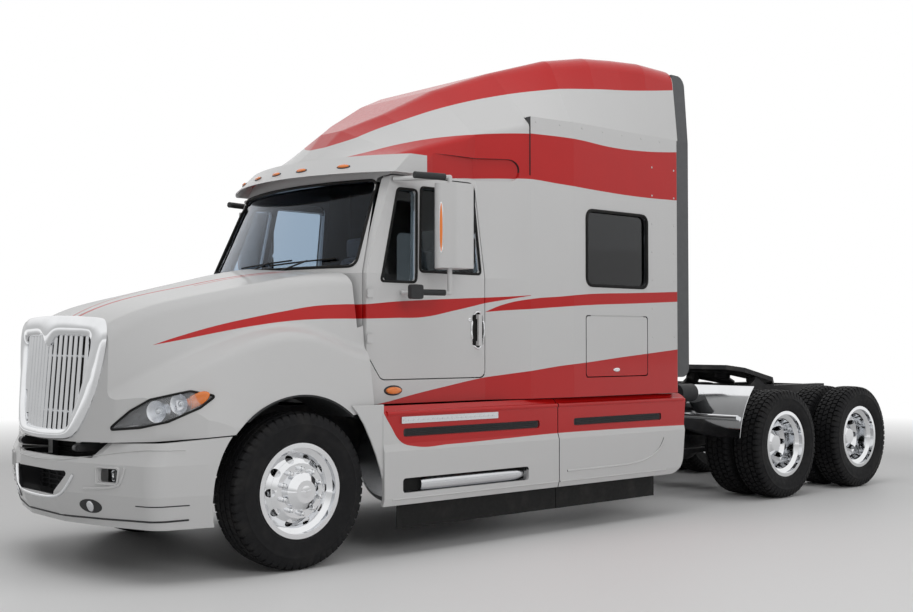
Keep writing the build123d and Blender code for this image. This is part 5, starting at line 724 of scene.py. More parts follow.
def on_front(nodes, y, z, lift=0.0):
    """Place on the nodes that is seen from ahead."""
    return seat(nodes, (AHEAD, y, z), BACK, lift)[0]


def on_side(node, sign, x, z, lift=0.0):
    """Place on a node that is seen from the side."""
    return seat((node,), (at(x), BESIDE * sign, z), (0, -sign, 0), lift)[0]


def face_axes(normal):
    """Level, rising and outward directions of a surface."""
    across = UP.cross(normal)
    return across, normal.cross(across), normal


def side_axes(sign):
    """The same directions on the truck's side."""
    return (1, 0, 0), UP, (0, sign, 0)


def outline_on(nodes, corners, direction, radius, lift=0.0, spacing=0.05):
    """Rounded outline laid on the nodes' surface just outside the opening, as a closed line of points."""
    middle = sum((Vector(corner) for corner in corners), Vector()) / len(corners)
    wide = []
    for corner in corners:
        signs = ((here > mid) - (here < mid) for here, mid in zip(corner, middle))
        wide.append(tuple(here + SEAL_EDGE * way for here, way in zip(corner, signs)))
    flat = rounded(wide, radius)
    points = []
    for k, here in enumerate(flat):
        here, there = Vector(here), Vector(flat[(k + 1) % len(flat)])
        count = max(1, int((there - here).length / spacing))
        starts = [here.lerp(there, step / count) for step in range(count)]
        points += [seat(nodes, start, direction, lift, middle)[0] for start in starts]
    return points


def seal(name, nodes, corners, direction, body, corner, thick):
    tube(name, outline_on(nodes, corners, direction, corner), thick, body, RUBBER, ring=True)


# Glass seals and wipers
WINDSHIELD = [(AHEAD, -0.94, 1.985), (AHEAD, 0.94, 1.985), (AHEAD, 0.85, 2.60), (AHEAD, -0.85, 2.60)]
WINDOWS = {
    "vent": ((-1.030, 1.885), (-0.733, 1.885), (-0.954, 2.540), (-1.112, 2.540)),
    "pane": ((-1.650, 1.965), (-1.085, 1.965), (-1.168, 2.565), (-1.650, 2.565)),
}
BERTH_LOW, BERTH_HIGH = (at(-3.38), 1.91), (at(-2.655), 2.49)
FRONT_NODES = ("windshield", "cab_shell", "door_left_shell", "door_right_shell", "sun_visor")


def side_seals(hand, sign):
    door = "door_" + hand
    into = (0, -sign, 0)
    for key, corners in WINDOWS.items():
        places = [(at(x), BESIDE * sign, z) for x, z in corners]
        nodes = (door + "_glass", door + "_shell")
        seal(f"{door}_{key}_seal", nodes, places, into, door, corner=0.03, thick=0.010)
    berth = rectangle(1, BESIDE * sign, BERTH_LOW, BERTH_HIGH)
    nodes = ("sleeper_glass", "sleeper_shell")
    seal(f"sleeper_{hand}_seal", nodes, berth, into, "chassis", corner=0.07, thick=0.013)


def wiper(hand, sign):
    side = 0.20 * sign
    pivot = on_front(("cab_shell", "windshield"), side + 0.12, 1.960, 0.014)
    knee = on_front(("windshield",), side + 0.34, 2.02, 0.028)
    tube("wiper_arm_" + hand, [pivot, knee], 0.006, "chassis", PLASTIC)
    shares = (0, 0.2, 0.4, 0.6, 0.8, 1.0)
    blade = [on_front(("windshield",), side - 0.05 + 0.62 * s, 2.005 + 0.03 * s, 0.012) for s in shares]
    tube("wiper_blade_" + hand, blade, 0.006, "chassis", RUBBER, smooth=True)


# Lamps on the visor and ahead of the doors
def visor_lamps():
    lamps, rims = bmesh.new(), bmesh.new()
    for side in (-0.66, -0.29, 0.0, 0.29, 0.66):
        place, normal = seat(("sun_visor",), (AHEAD, side, 2.705), BACK)
        lens(rims, place, face_axes(normal), (0.056, 0.021), 0.006)
        lens(lamps, place, face_axes(normal), (0.048, 0.015), 0.016)
    finish_piece("visor_lamp_rims", rims, "chassis", PLASTIC)
    finish_piece("visor_lamps", lamps, "chassis", AMBER)


def side_lamp(hand, sign):
    place, axes = on_side("cab_shell", sign, -0.835, 1.121), side_axes(sign)
    piece("side_lamp_rim_" + hand, "chassis", PLASTIC, lens, place, axes, (0.080, 0.036), 0.008)
    piece("side_lamp_" + hand, "chassis", AMBER, lens, place, axes, (0.068, 0.026), 0.024)


# Mirrors: lamp on the front, two glasses in frames behind, and the arms to the door
MIRROR_REAR = at(-1.301)
MIRROR_SIDES = (1.19, 1.37)
MIRROR_GLASSES = ((2.215, 2.525), (2.005, 2.185))
MIRROR_RIM = 0.01
BRACKET_RISE = Vector((0, 0, 0.81))


def mirror(hand, sign):
    door = "door_" + hand
    place, normal = seat((door + "_mirror",), (at(-0.70), 1.315 * sign, 2.25), BACK)
    axes = (UP, UP.cross(normal), normal)
    piece("mirror_lamp_rim_" + hand, door, CHROME, lens, place, axes, (0.178, 0.017), 0.006)
    piece("mirror_lamp_" + hand, door, AMBER, lens, place, axes, (0.170, 0.011), 0.012)
    near, far = MIRROR_SIDES
    glasses, frames = bmesh.new(), bmesh.new()
    for low, high in MIRROR_GLASSES:
        glass = rectangle(0, MIRROR_REAR, (near * sign, low), (far * sign, high))
        plate(glasses, rounded(glass, 0.03), (-0.006, 0, 0))
        first = ((near - MIRROR_RIM) * sign, low - MIRROR_RIM)
        second = ((far + MIRROR_RIM) * sign, high + MIRROR_RIM)
        plate(frames, rounded(rectangle(0, MIRROR_REAR, first, second), 0.035), (-0.004, 0, 0))
    finish_piece("mirror_glass_" + hand, glasses, door, MIRROR)
    finish_piece("mirror_frames_" + hand, frames, door, PLASTIC)
    foot = Vector((at(-0.885), 1.215 * sign, 1.80))
    elbow = Vector((at(-1.155), 1.28 * sign, 1.80))
    sleeve = [foot, foot.lerp(elbow, 0.4), foot.lerp(elbow, 0.86)]
    tube("mirror_foot_" + hand, sleeve, 0.022, door, PLASTIC)
    bracket = [foot.lerp(elbow, share) + BRACKET_RISE for share in (0, 0.5, 0.86)]
    tube("mirror_bracket_" + hand, bracket, 0.024, door, PLASTIC)
    base = rounded(rectangle(1, 1.205 * sign, (at(-0.945), 1.752), (at(-0.835), 1.852)), 0.02)
    piece("mirror_base_" + hand, door, PLASTIC, plate, base, (0, 0.045 * sign, 0), bevel=0.006)


# Door pull in its pocket with the lock beside it, and the key plate of the luggage door
PULL_MIDDLE = (at(-1.624), 1.545)
PULL_OVAL = (0.062, 0.135)
PULL_LOW, PULL_HIGH = (at(-1.640), 1.445), (at(-1.608), 1.645)


def door_pull(hand, sign):
    door = "door_" + hand
    shell = (door + "_shell",)
    middle = Vector((PULL_MIDDLE[0], BESIDE * sign, PULL_MIDDLE[1]))
    ring = []
    for k in range(28):
        turn = tau * k / 28
        start = middle + Vector((PULL_OVAL[0] * cos(turn), 0, PULL_OVAL[1] * sin(turn)))
        ring.append(seat(shell, start, (0, -sign, 0), 0.003, middle)[0])
    tube("door_pull_ring_" + hand, ring, 0.008, door, CHROME, ring=True)
    depth = max(abs(p.y) for p in ring)
    backing = [(p.x, (depth - 0.006) * sign, p.z) for p in ring]
    piece("door_pull_plate_" + hand, door, RUBBER, plate, backing, (0, BACKING * sign, 0))
    pull = rounded(rectangle(1, (depth + 0.016) * sign, PULL_LOW, PULL_HIGH), 0.015)
    piece("door_pull_" + hand, door, CHROME, plate, pull, (0, -0.018 * sign, 0), bevel=0.004)
    lock = on_side(shell[0], sign, -1.545, 1.62)
    piece("door_lock_" + hand, door, CHROME, lens, lock, side_axes(sign), (0.016, 0.016), 0.006)
    key = on_side("luggage_door_" + hand, sign, -3.0, 1.235)
    body = "luggage_" + hand
    piece("luggage_latch_" + hand, body, CHROME, lens, key, side_axes(sign), (0.040, 0.016), 0.008)


# Rivets along the sleeper's seams, intake inlays and step grips
WALLS = ("sleeper_shell", "roof_cap", "cab_shell")
INTAKES = ((-0.812, -2.123), (-2.517, -3.573))


def side_details(hand, sign):
    spots = [(-2.12 - 0.24 * k, 3.135) for k in range(7)]
    spots += [(x, 1.50 + 0.235 * k) for x in (-3.455, -3.745) for k in range(7)]
    out = (0, sign, 0)
    into = (0, -sign, 0)
    places = [seat(WALLS, (at(x), BESIDE * sign, z), into)[0] for x, z in spots]
    studs("sleeper_rivets_" + hand, places, out, 0.008, 0.005, "chassis", PLAIN_PAINT)
    bm = bmesh.new()
    for front, rear in INTAKES:
        inlay = rectangle(1, 1.1885 * sign, (at(rear), 0.812), (at(front), 0.864))
        plate(bm, rounded(inlay, 0.016), (0, 0.003 * sign, 0))
        side, start, end = 1.194 * sign, at(rear) + 0.02, at(front) - 0.02
        bars(bm, [((start, side, z), (end, side, z)) for z in (0.824, 0.838, 0.852)], 0.0028)
    finish_piece("intake_inlays_" + hand, bm, "chassis", PLASTIC)
    grips = [(at(-0.80 - 0.044 * k), 1.214 * sign, 0.925) for k in range(20)]
    studs("step_bar_grips_" + hand, grips, out, 0.008, 0.004, "chassis", ALLOY, 8)


seal("windshield_seal", FRONT_NODES, WINDSHIELD, BACK, "chassis", corner=0.06, thick=0.011)
visor_lamps()
for hand, sign in SIGNS.items():
    for make in (side_seals, wiper, side_lamp, mirror, door_pull, side_details):
        make(hand, sign)


# Grille: frame, bars, rails and the screen behind, all on the nose's bent and leaning face
def smooth_loop(points, count):
    """Closed curve through the points, sampled evenly by point."""
    made = []
    size = len(points)
    for k in range(size):
        a, b, c, d = (Vector(points[(k + step) % size]) for step in (-1, 0, 1, 2))
        for step in range(count):
            t = step / count
            square, cube = 2 * a - 5 * b + 4 * c - d, 3 * b - a - 3 * c + d
            made.append(0.5 * (2 * b + (c - a) * t + square * t * t + cube * t ** 3))
    return made


def both_halves(half):
    """Whole outline from the half with positive side, bottom middle first."""
    return half + [(-side, height) for side, height in half[-2:0:-1]]


NOSE_STEP, NOSE_STEPS = 0.02, 29
NOSE_HEIGHT = 1.53
LEAN_SIDE, LEAN_LOW, LEAN_HIGH = 0.55, 1.22, 1.50
GRILLE = ("grille_surround",)
nose_reach = [on_front(GRILLE, NOSE_STEP * k, NOSE_HEIGHT).x for k in range(NOSE_STEPS)]
lean = [on_front(GRILLE, LEAN_SIDE, height).x for height in (LEAN_LOW, LEAN_HIGH)]
LEAN = (lean[0] - lean[1]) / (LEAN_HIGH - LEAN_LOW)


def nose(side, height, proud=0.0):
    """Place on the nose's face at a distance from the middle, or proud of it."""
    share = min(abs(side) / NOSE_STEP, NOSE_STEPS - 2.001)
    low = int(share)
    reach = nose_reach[low] + (nose_reach[low + 1] - nose_reach[low]) * (share - low)
    return reach + LEAN * (NOSE_HEIGHT - height) + proud, side, height


FRAME_OUTER = [
    (0, 0.838), (0.2, 0.841), (0.34, 0.853), (0.415, 0.888), (0.47, 0.965), (0.525, 1.08), (0.572, 1.22),
    (0.603, 1.36), (0.618, 1.48), (0.602, 1.565), (0.545, 1.603), (0.36, 1.618), (0.17, 1.624), (0, 1.626),
]
FRAME_INNER = [
    (0, 0.905), (0.17, 0.907), (0.29, 0.916), (0.342, 0.945), (0.378, 1.005), (0.421, 1.1), (0.457, 1.22),
    (0.482, 1.34), (0.497, 1.43), (0.487, 1.478), (0.45, 1.492), (0.3, 1.497), (0.1, 1.494), (0, 1.425),
]
FRAME_SECTION = [
    (0.0, -0.03), (0.0, -0.004), (0.03, 0.004), (0.12, 0.012), (0.35, 0.022), (0.62, 0.024), (0.84, 0.016),
    (0.95, 0.006), (1.0, -0.004), (1.0, -0.055),
]
BAR_SECTION = [
    (-0.016, -0.028), (-0.016, -0.022), (-0.011, -0.014), (0, -0.01), (0.011, -0.014), (0.016, -0.022),
    (0.016, -0.028),
]
BAR_COUNT, BAR_PITCH = 15, 0.0625
BAR_REACH = 0.49
BAR_TUCK = 0.012
RAILS = ((1.02, 0.375), (1.37, 0.48))
outer, inner = (smooth_loop(both_halves(half), 6) for half in (FRAME_OUTER, FRAME_INNER))


def opening(side):
    """Lowest and highest place of the grille opening at a distance from the middle."""
    heights = []
    for k, here in enumerate(inner):
        there = inner[(k + 1) % len(inner)]
        if (here[0] - side) * (there[0] - side) <= 0 and here[0] != there[0]:
            heights.append(here[1] + (there[1] - here[1]) * (side - here[0]) / (there[0] - here[0]))
    return min(heights), max(heights)


def grille_frame(bm):
    rings = [
        [bm.verts.new(nose(*wide.lerp(near, share), proud)) for share, proud in FRAME_SECTION]
        for wide, near in zip(outer, inner)
    ]
    for k, ring in enumerate(rings):
        join(bm, ring, rings[(k + 1) % len(rings)])


def grille_bars(bm):
    for k in range(BAR_COUNT):
        side = (k - (BAR_COUNT - 1) / 2) * BAR_PITCH
        low, high = opening(max(-BAR_REACH, min(BAR_REACH, side)))
        rings = []
        for share in (0, 0.5, 1):
            height = low - BAR_TUCK + (high - low + 2 * BAR_TUCK) * share
            x = nose(side, height)[0]
            rings.append([(x + proud, side + across, height) for across, proud in BAR_SECTION])
        loft(bm, rings)


def grille_rails(bm):
    for height, reach in RAILS:
        path = [nose(reach * step / 8, height, -0.034) for step in range(-8, 9)]
        bars(bm, list(zip(path, path[1:])), 0.007)


def grille_screen(bm):
    places = [(nose(side, height, -0.056)[0], side * 1.02, height) for side, height in inner]
    bm.faces.new([bm.verts.new(place) for place in places])


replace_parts(piece("grille_frame_moulded", "hood", CHROME, grille_frame, sharp=40), "grille_surround")
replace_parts(piece("grille_bars_close", "hood", CHROME, grille_bars, sharp=40), "grille_bars")
piece("grille_rails", "hood", CHROME, grille_rails)
thicken(piece("grille_screen", "hood", RUBBER, grille_screen), 0.003)


# Headlamps: clear lens over a dark housing, with reflector, two bowls and the corner lens inside
LAMP_TURN, BOWL_TURN = radians(40), radians(30)
HOUSING_DEPTH, REFLECTOR_DEPTH = 0.075, 0.060
REFLECTOR_FRONT, REFLECTOR_LOW = at(0.83), 0.99
BOWL = [(0.020, -0.045), (0.038, -0.036), (0.054, -0.018), (0.062, 0.0), (0.067, 0.003), (0.067, -0.050)]
BULB = [(0.024, -0.06), (0.024, -0.022), (0.019, -0.012), (0.009, -0.006)]
BOWL_SPOTS = ((0.905, 0.935, 1.035, 1.0), (0.790, 1.000, 1.080, 0.92))
CORNER_SPOT = (0.700, 1.036, 1.098)
LAMP_TRIM = (
    (1.02, 0.725, 0.935), (0.935, 0.842, 0.952), (0.86, 0.925, 0.975), (0.76, 1.0, 1.02),
    (0.7, 1.03, 1.05),
)
LENS_FACING = 0.35


def lens_patch(sign, facing):
    """Outer faces of one CAD headlamp."""
    def outer(face):
        return face.calc_center_median().y * sign >= 0 and face.normal.dot(facing) >= LENS_FACING

    bm = bmesh.new()
    bm.from_mesh(NODES["headlamps"].data)
    bmesh.ops.remove_doubles(bm, verts=bm.verts, dist=1e-5)
    bmesh.ops.delete(bm, geom=[face for face in bm.faces if not outer(face)], context="FACES")
    bmesh.ops.delete(bm, geom=[v for v in bm.verts if not v.link_faces], context="VERTS")
    return bm


def boundary(bm):
    """Places round the open edge of a patch."""
    edges = {edge for edge in bm.edges if len(edge.link_faces) == 1}
    chain = [next(edge for edge in bm.edges if edge in edges).verts[0]]
    while edges:
        edge = next((e for e in chain[-1].link_edges if e in edges), None)
        if edge is None:
            break
        edges.remove(edge)
        chain.append(edge.other_vert(chain[-1]))
    return [vert.co.copy() for vert in chain[:-1]]


def corner_cut(loop):
    """Closed line with each corner replaced by two points."""
    made = []
    for k, here in enumerate(loop):
        made += [here.lerp(loop[k - 1], 0.25), here.lerp(loop[(k + 1) % len(loop)], 0.25)]
    return made


def headlamp(hand, sign):
    facing = Vector((cos(LAMP_TURN), sin(LAMP_TURN) * sign, 0))
    housing = lens_patch(sign, facing)
    rim = boundary(housing)
    surface = BVHTree.FromBMesh(housing)
    glass, bright = housing.copy(), housing.copy()
    gasket = corner_cut(corner_cut([p + facing * 0.001 for p in rim]))
    tube("headlamp_gasket_" + hand, gasket, 0.0075, "hood", RUBBER, ring=True)

    # The housing is the same patch set back, with its rim walls
    set_back = facing * HOUSING_DEPTH
    bmesh.ops.translate(housing, verts=housing.verts, vec=-set_back)
    for k, here in enumerate(rim):
        corners = (rim[k - 1], here, here - set_back, rim[k - 1] - set_back)
        housing.faces.new([housing.verts.new(p) for p in corners])
    thicken(finish_piece("headlamp_housing_" + hand, housing, "hood", LAMP_BLACK, 60), 0.003, 0)
    cover = finish_piece("headlamp_lens_" + hand, glass, "hood", CLEAR, 60)
    thicken(cover, 0.003)
    if sign > 0:
        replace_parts(cover, "headlamps")
    for place, way in (((REFLECTOR_FRONT, 0, 0), (1, 0, 0)), ((0, 0, REFLECTOR_LOW), (0, 0, -1))):
        geom = list(bright.verts) + list(bright.edges) + list(bright.faces)
        bmesh.ops.bisect_plane(bright, geom=geom, plane_co=place, plane_no=way, clear_outer=True)
    bmesh.ops.translate(bright, verts=bright.verts, vec=-facing * REFLECTOR_DEPTH)
    thicken(finish_piece("headlamp_reflector_" + hand, bright, "hood", REFLECTOR, 60), 0.002)

    # Bowls, bulbs and corner lens stand at a depth behind the clear lens
    def behind(x, y, z, depth):
        spot = Vector((at(x), y * sign, z))
        return (surface.ray_cast(spot + facing, -facing)[0] or spot) - facing * depth

    aim = Vector((cos(BOWL_TURN), sin(BOWL_TURN) * sign, -0.02))
    bowls, bulbs = bmesh.new(), bmesh.new()
    for x, y, z, size in BOWL_SPOTS:
        place = behind(x, y, z, 0.022)
        turned(bowls, [(r * size, a * size) for r, a in BOWL], place, aim)
        turned(bulbs, [(r * size, a * size) for r, a in BULB] + [(0.001, -0.005 * size)], place, aim)
    finish_piece("headlamp_bowls_" + hand, bowls, "hood", REFLECTOR, 50)
    finish_piece("headlamp_bulbs_" + hand, bulbs, "hood", MIRROR, 50)
    rising = Vector((-facing.y, facing.x, 0)) * sign + UP * 0.42
    place = behind(*CORNER_SPOT, 0.024)
    corner = "headlamp_corner_" + hand
    piece(corner, "hood", AMBER, lens, place, (rising, UP, facing), (0.098, 0.045), 0.012)
    path = [Vector((at(x), y * sign, z)) - facing * 0.03 for x, y, z in LAMP_TRIM]
    tube("headlamp_trim_" + hand, path, 0.004, "hood", CHROME, smooth=True)


# Bumper: fog lamp in its pocket, tow eye cover, ridges and seams
BUMPER = ("bumper",)
BUMPER_SKIN = ("bumper", "hood_shell")
BEND_CENTRE = (0.55, 0.35)
FOG_HOLE = ((0.632, 0.603), (0.785, 0.603), (0.797, 0.690), (0.632, 0.690))
FOG_SHELF = (
    (0.53, 0.56), (0.62, 0.566), (0.7, 0.574), (0.77, 0.582), (0.815, 0.6), (0.838, 0.665), (0.846, 0.7),
)
FOG_BOWL = [
    (0.044, -0.05), (0.044, 0.002), (0.04, 0.006), (0.036, -0.006), (0.02, -0.022), (0.002, -0.026),
]
FOG_GLASS = [(0.038, -0.004), (0.030, 0.004), (0.014, 0.008), (0.001, 0.009)]
# Depths of the dark backing behind the opening and of the dark plate that paints shade on the pocket floor
FOG_BACK_DEPTH, FOG_SHADE_DEPTH = 0.075, 0.027
LIP = [(0, 0.479), (0.18, 0.483), (0.31, 0.503), (0.385, 0.56), (0.435, 0.64)]


def fog_lamp(hand, sign):
    hole = [(AHEAD, y * sign, z) for y, z in FOG_HOLE]
    ring = outline_on(BUMPER, hole, BACK, 0.02, 0.002)
    tube("fog_frame_" + hand, ring, 0.0075, "chassis", PLAIN_PAINT, ring=True)
    shelf = [on_front(BUMPER_SKIN, y * sign, z, 0.004) for y, z in FOG_SHELF]
    tube("fog_shelf_" + hand, shelf, 0.009, "chassis", PLAIN_PAINT, smooth=True)
    centre = Vector((on_front(BUMPER_SKIN, 0.80 * sign, 0.646).x - 0.020, 0.722 * sign, 0.646))
    aim = (1, 0.12 * sign, 0)
    piece("fog_bowl_" + hand, "chassis", CHROME, turned, FOG_BOWL, centre, aim, sharp=50)
    piece("fog_glass_" + hand, "chassis", CLEAR, turned, FOG_GLASS, centre, aim, sharp=50)
    face = on_front(BUMPER_SKIN, 0.79 * sign, 0.64).x
    back = rectangle(0, face - FOG_BACK_DEPTH, (0.60 * sign, 0.575), (0.83 * sign, 0.712))
    piece("fog_back_" + hand, "chassis", RUBBER, plate, back, (-BACKING, 0, 0))
    # Painted shade: a dark plate on the pocket's floor, round the lamp, darkens the recess
    base = rectangle(0, face - FOG_SHADE_DEPTH, (0.615 * sign, 0.590), (0.765 * sign, 0.700))
    piece("fog_base_" + hand, "chassis", RUBBER, plate, base, (-0.002, 0, 0))


def tow_eye(hand, sign):
    place, normal = seat(BUMPER, (AHEAD, 0.553 * sign, 0.452), BACK)
    across, rising, out = face_axes(normal)
    recess = (across, rising, out)
    piece("tow_recess_" + hand, "chassis", PLASTIC, lens, place, recess, (0.100, 0.046), 0.003)
    cover = (rising, across, out)
    piece("tow_cover_" + hand, "chassis", ALLOY, lens, place, cover, (0.036, 0.030), 0.012)


def contour(sign, low, high, height, lift, steps=44):
    """Line round the bumper by the turn from straight ahead to the side; height follows the turn."""
    path = []
    for step in range(steps + 1):
        turn = radians(low + (high - low) * step / steps)
        way = Vector((cos(turn), sin(turn) * sign, 0))
        start = Vector((at(BEND_CENTRE[0]), BEND_CENTRE[1] * sign, 0)) + way * 3
        start.z = height(degrees(turn))
        if tree_of("bumper").ray_cast(start, -way)[0] is not None:
            path.append(seat(BUMPER, start, -way, lift)[0])
    return path


def bumper_lines(hand, sign):
    steps = [(k, BEND_CENTRE[1] * k / 5 * sign) for k in range(5)]
    ridge = [on_front(BUMPER_SKIN, side, 0.715 + 0.002 * k, 0.001) for k, side in steps]
    ridge += contour(sign, 0, 72, lambda turn: 0.728 + 0.082 * min(1, turn / 55), 0.001)
    tube("bumper_ridge_" + hand, ridge, 0.005, "chassis", PLAIN_PAINT)
    seam = contour(sign, 50, 74, lambda turn: 0.476, -0.001)
    tube("bumper_seam_" + hand, seam, 0.004, "chassis", PLASTIC)
    sill = [on_front(BUMPER_SKIN, side, 0.372) for k, side in steps]
    sill += contour(sign, 0, 74, lambda turn: 0.372 + 0.018 * turn / 92, 0.0)
    tube("bumper_sill_" + hand, sill, 0.006, "chassis", PLASTIC)


def bumper_screen(bm):
    """Mesh of bars with a plate behind, in the bumper's middle opening."""
    face = on_front(BUMPER, 0.45, 0.60).x - 0.13
    rows = [((face, -0.42, z), (face, 0.42, z)) for z in (0.52, 0.55, 0.58, 0.61, 0.64)]
    rows += [((face - 0.004, 0.12 * k, 0.49), (face - 0.004, 0.12 * k, 0.67)) for k in range(-3, 4)]
    bars(bm, rows, 0.004)
    plate(bm, rectangle(0, face - 0.02, (-0.43, 0.485), (0.43, 0.68)), (-BACKING, 0, 0))


def radiator_shroud(bm):
    plate(bm, rectangle(0, at(0.925), (-0.43, 0.60), (0.43, 0.86)), (-BACKING, 0, 0))
    face = at(0.928)
    heights = [0.63 + 0.03 * k for k in range(8)]
    bars(bm, [((face, -0.35, height), (face, 0.35, height)) for height in heights], 0.003)


for hand, sign in SIGNS.items():
    for make in (headlamp, fog_lamp, tow_eye, bumper_lines):
        make(hand, sign)
lip = [on_front(BUMPER, y, z, 0.002) for y, z in [(-y, z) for y, z in LIP[:0:-1]] + LIP]
tube("bumper_lip", lip, 0.011, "chassis", CHROME, smooth=True)
piece("bumper_screen", "chassis", PLASTIC, bumper_screen)
piece("radiator_shroud", "chassis", RUBBER, radiator_shroud)


# Skirts: rolled top edge, ledge and sweep, the moulding of the lower step and the flange behind the arch
SKIRT_ROLLS = ((-0.665, -2.325), (-2.337, -3.880))
SKIRT_LEDGES = ((-0.70, -2.32), (-2.34, -3.62))
SWEEP = (
    (-2.42, 0.468), (-2.95, 0.466), (-3.22, 0.472), (-3.38, 0.498), (-3.5, 0.545), (-3.57, 0.6),
    (-3.6, 0.66),
)
MOULDING = (
    (-0.97, 0.036), (-0.985, 0.042), (-1.1, 0.045), (-1.5, 0.045), (-1.8, 0.044), (-1.9, 0.04),
    (-1.955, 0.03), (-1.978, 0.016), (-1.984, 0.003),
)
MOULDING_HALF, MOULDING_HEIGHT = 0.045, 0.476
ARCH = (
    (-0.64, 1.036), (-0.372, 1.036), (-0.42, 0.985), (-0.475, 0.905), (-0.53, 0.8), (-0.575, 0.7),
    (-0.612, 0.6), (-0.64, 0.5),
)


def skirt_line(kind, hand, sign, ends, height, lift, steps, radius):
    """Tube along a fairing panel at one height."""
    front, rear = ends
    spots = [front + (rear - front) * k / steps for k in range(steps + 1)]
    path = [on_side("side_fairings", sign, x, height, lift) for x in spots]
    tube(f"skirt_{kind}_{hand}_{int(-front * 100)}", path, radius, "chassis", SKIRT_PAINT)


def step_moulding(bm, sign):
    rings = []
    for x, half in MOULDING:
        ring = []
        for k in range(9):
            turn = pi * (k / 8 - 0.5)
            side = 1.176 + 0.026 * cos(turn) * half / MOULDING_HALF
            ring.append((at(x), side * sign, MOULDING_HEIGHT + half * sin(turn)))
        ring += [(at(x), 1.170 * sign, MOULDING_HEIGHT + edge) for edge in (half, -half)]
        rings.append(ring)
    loft(bm, rings)


def skirt(hand, sign):
    for ends in SKIRT_ROLLS:
        skirt_line("roll", hand, sign, ends, 0.978, -0.012, 24, 0.021)
    for ends in SKIRT_LEDGES:
        skirt_line("ledge", hand, sign, ends, 0.392, -0.001, 12, 0.007)
    sweep = [on_side("side_fairings", sign, x, z, -0.002) for x, z in SWEEP]
    tube("skirt_sweep_" + hand, sweep, 0.009, "chassis", SKIRT_PAINT, smooth=True)
    piece("step_moulding_" + hand, "chassis", ALLOY, step_moulding, sign, sharp=50)
    wall = rectangle(1, 1.160 * sign, (at(-1.995), 0.435), (at(-0.795), 0.527))
    piece("step_pocket_" + hand, "chassis", RUBBER, plate, wall, (0, BACKING * sign, 0))
    arch = [(at(x), 1.196 * sign, z) for x, z in ARCH]
    piece("arch_flange_" + hand, "chassis", PLAIN_PAINT, plate, arch, (0, -0.014 * sign, 0), bevel=0.004)


# Cab inside: padded seats and bunk over their rigid bases
CUSHION_CUTS, CUSHION_POWER = 23, 7
SEAM_WIDTH, SEAM_ABOVE, SEAM_FADE = 0.045, 0.3, 6
SEAT_SIDE = 0.48
SEAT_BLOCKS = (
    (-1.575, -1.255, 0.16, 1.181, 0.20, 0.03),
    (-1.74, -1.20, 0.21, 1.455, 0.035, 0.05),
    (-1.52, -1.32, 0.10, 1.37, 0.09, 0.03),
)
BUNK_BOARDS = ((-3.739, -2.641, 1.662, 1.702), (-2.682, -2.641, 1.181, 1.662))
BUNK_SIDE = 1.14


def cushion(name, centre, size, crown, axis, seams=()):
    """Crowned pad: a rounded block whose middle swells along one axis, with sewn channels across."""
    bm = bmesh.new()
    bmesh.ops.create_cube(bm, size=2.0)
    bmesh.ops.subdivide_edges(bm, edges=bm.edges[:], cuts=CUSHION_CUTS, use_grid_fill=True)
    first, second = (k for k in range(3) if k != axis)
    for vert in bm.verts:
        p = Vector(vert.co)
        p /= sum(abs(part) ** CUSHION_POWER for part in p) ** (1 / CUSHION_POWER)
        lift = crown * (1 - p[first] ** 2) * (1 - p[second] ** 2) * p[axis]
        for way, place, depth in seams:
            if p[axis] > SEAM_ABOVE:
                channel = depth * exp(-(((p[way] - place) / SEAM_WIDTH) ** 2))
                lift -= channel * min(1, SEAM_FADE * (1 - abs(p[first])))
        q = Vector([p[k] * size[k] / 2 for k in range(3)])
        q[axis] += lift
        vert.co = Vector(centre) + q
    finish_piece(name, bm, "chassis", FABRIC, 60)


def seat_seams(way):
    """Sewn channels as (axis, place from -1 to 1, depth): two along the pad and one across."""
    return (1, -0.6, 0.010), (1, 0.6, 0.010), (way, 0.0, 0.006)


def cab_seat(hand, sign):
    y = SEAT_SIDE * sign
    low = (at(-1.405), y, 1.565)
    cushion("seat_cushion_" + hand, low, (0.46, 0.48, 0.125), 0.018, 2, seat_seams(0))
    back = (at(-1.705), y, 1.885)
    cushion("seat_back_" + hand, back, (0.125, 0.46, 0.56), 0.018, 0, seat_seams(2))
    cushion("seat_head_" + hand, (at(-1.705), y, 2.245), (0.095, 0.28, 0.16), 0.012, 0)
    bm = bmesh.new()
    for rear, front, half, level, height, corner in SEAT_BLOCKS:
        block = rectangle(2, level, (at(rear), y - half), (at(front), y + half))
        plate(bm, rounded(block, corner), (0, 0, height))
    posts = [(at(-1.705), y + side) for side in (-0.06, 0.06)]
    bars(bm, [((*post, 2.14), (*post, 2.20)) for post in posts], 0.006)
    base = finish_piece("seat_base_" + hand, bm, "chassis", PLASTIC, bevel=0.003)
    if sign > 0:
        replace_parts(base, "seats")


def bunk_board(bm):
    for rear, front, low, high in BUNK_BOARDS:
        board = rectangle(2, low, (at(rear), -BUNK_SIDE), (at(front), BUNK_SIDE))
        plate(bm, board, (0, 0, high - low))


for hand, sign in SIGNS.items():
    skirt(hand, sign)
    cab_seat(hand, sign)
bunk_seams = [(1, place, 0.006) for place in (-0.5, 0.0, 0.5)]
cushion("bunk_mattress", (at(-3.19), 0, 1.785), (1.08, 2.26, 0.150), 0.012, 2, bunk_seams)
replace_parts(piece("bunk_board", "chassis", PLASTIC, bunk_board, bevel=0.003), "bunk")


# Stage and light
FLOOR_SIZE = 120
FADE_START, FADE_END = 7, 15
HORIZON, OVERHEAD, HORIZON_LEVEL = 0.03, 0.32, 0.42
ROOM_LIGHT = 0.27


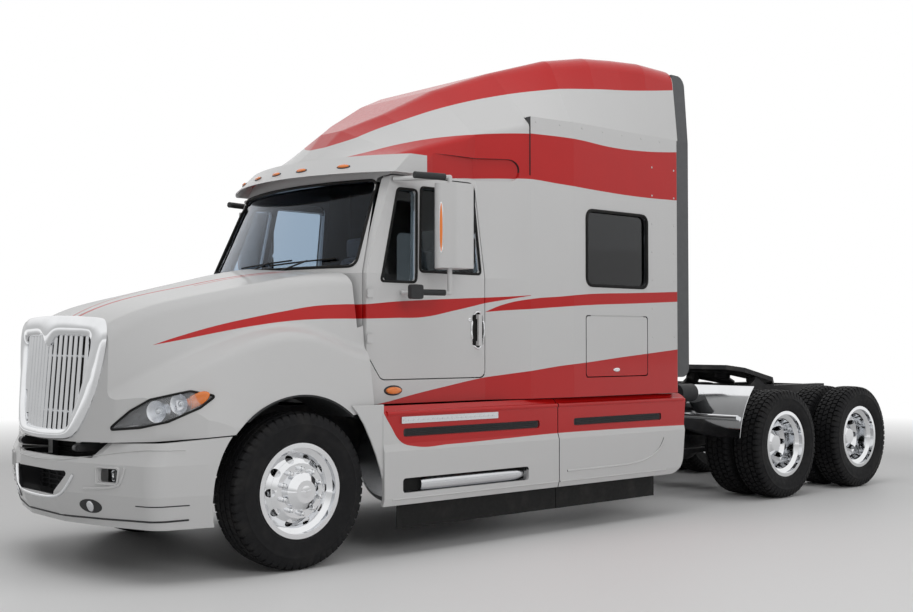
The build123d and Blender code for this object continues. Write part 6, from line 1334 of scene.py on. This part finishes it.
def floor_material():
    """Grey floor that turns into white light away from the truck."""
    kit = Kit("studio_floor", Base_Color=(0.80, 0.80, 0.80, 1), Roughness=0.55)
    glow = kit.node("Emission")
    glow.inputs["Strength"].default_value = 1.0
    blend = kit.node("MixShader")
    x, y, z = kit.axes()
    far = kit.math("SQRT", kit.math("ADD", kit.math("POWER", x, 2), kit.math("POWER", y, 2)))
    kit.link(kit.spread(far, FADE_START, FADE_END, 0, 1), blend.inputs[0])
    kit.link(kit.shader.outputs[0], blend.inputs[1])
    kit.link(glow.outputs[0], blend.inputs[2])
    kit.link(blend.outputs[0], kit.tree.nodes["Material Output"].inputs["Surface"])
    return kit.material


bpy.ops.mesh.primitive_plane_add(size=FLOOR_SIZE, location=(0, 0, 0))
floor = bpy.context.object
floor.name = "studio_floor"
floor.data.materials.append(floor_material())

# White room: it lights the truck weakly, and reflections see it graded from the horizon up
world = bpy.data.worlds.new("studio_world")
scene.world = world
world.use_nodes = True
room = Tree(world.node_tree)
background = room.tree.nodes["Background"]
background.inputs["Color"].default_value = (1, 1, 1, 1)
rise = room.node("SeparateXYZ")
room.link(room.node("TexCoord").outputs["Generated"], rise.inputs[0])
graded = room.spread(rise.outputs["Z"], HORIZON, OVERHEAD, HORIZON_LEVEL, 1.0, "SMOOTHSTEP")
ray = room.node("LightPath").outputs
seen = room.math("MAXIMUM", ray["Is Camera Ray"], room.times(ray["Is Glossy Ray"], graded))
seen = room.math("MAXIMUM", seen, ray["Is Transmission Ray"])
room.link(room.spread(seen, 0, 1, ROOM_LIGHT, 1.0), background.inputs["Strength"])


def lamp(name, place, target, size, power):
    data = bpy.data.lights.new(name, "AREA")
    data.shape = "RECTANGLE"
    data.size, data.size_y = size
    data.energy = power
    made = bpy.data.objects.new(name, data)
    made.location = place
    made.visible_glossy = False
    made.rotation_euler = (Vector(target) - Vector(place)).to_track_quat("-Z", "Y").to_euler()
    scene.collection.objects.link(made)


lamp("top_softbox", (3, 2, 11), (2, 0, 1), (12, 7), 470)
lamp("key_softbox", (5, 12, 6), (2, 0, 1.4), (6, 4), 330)
lamp("side_softbox", (-7, 9, 4.5), (-2, 0, 1.5), (6, 3), 60)
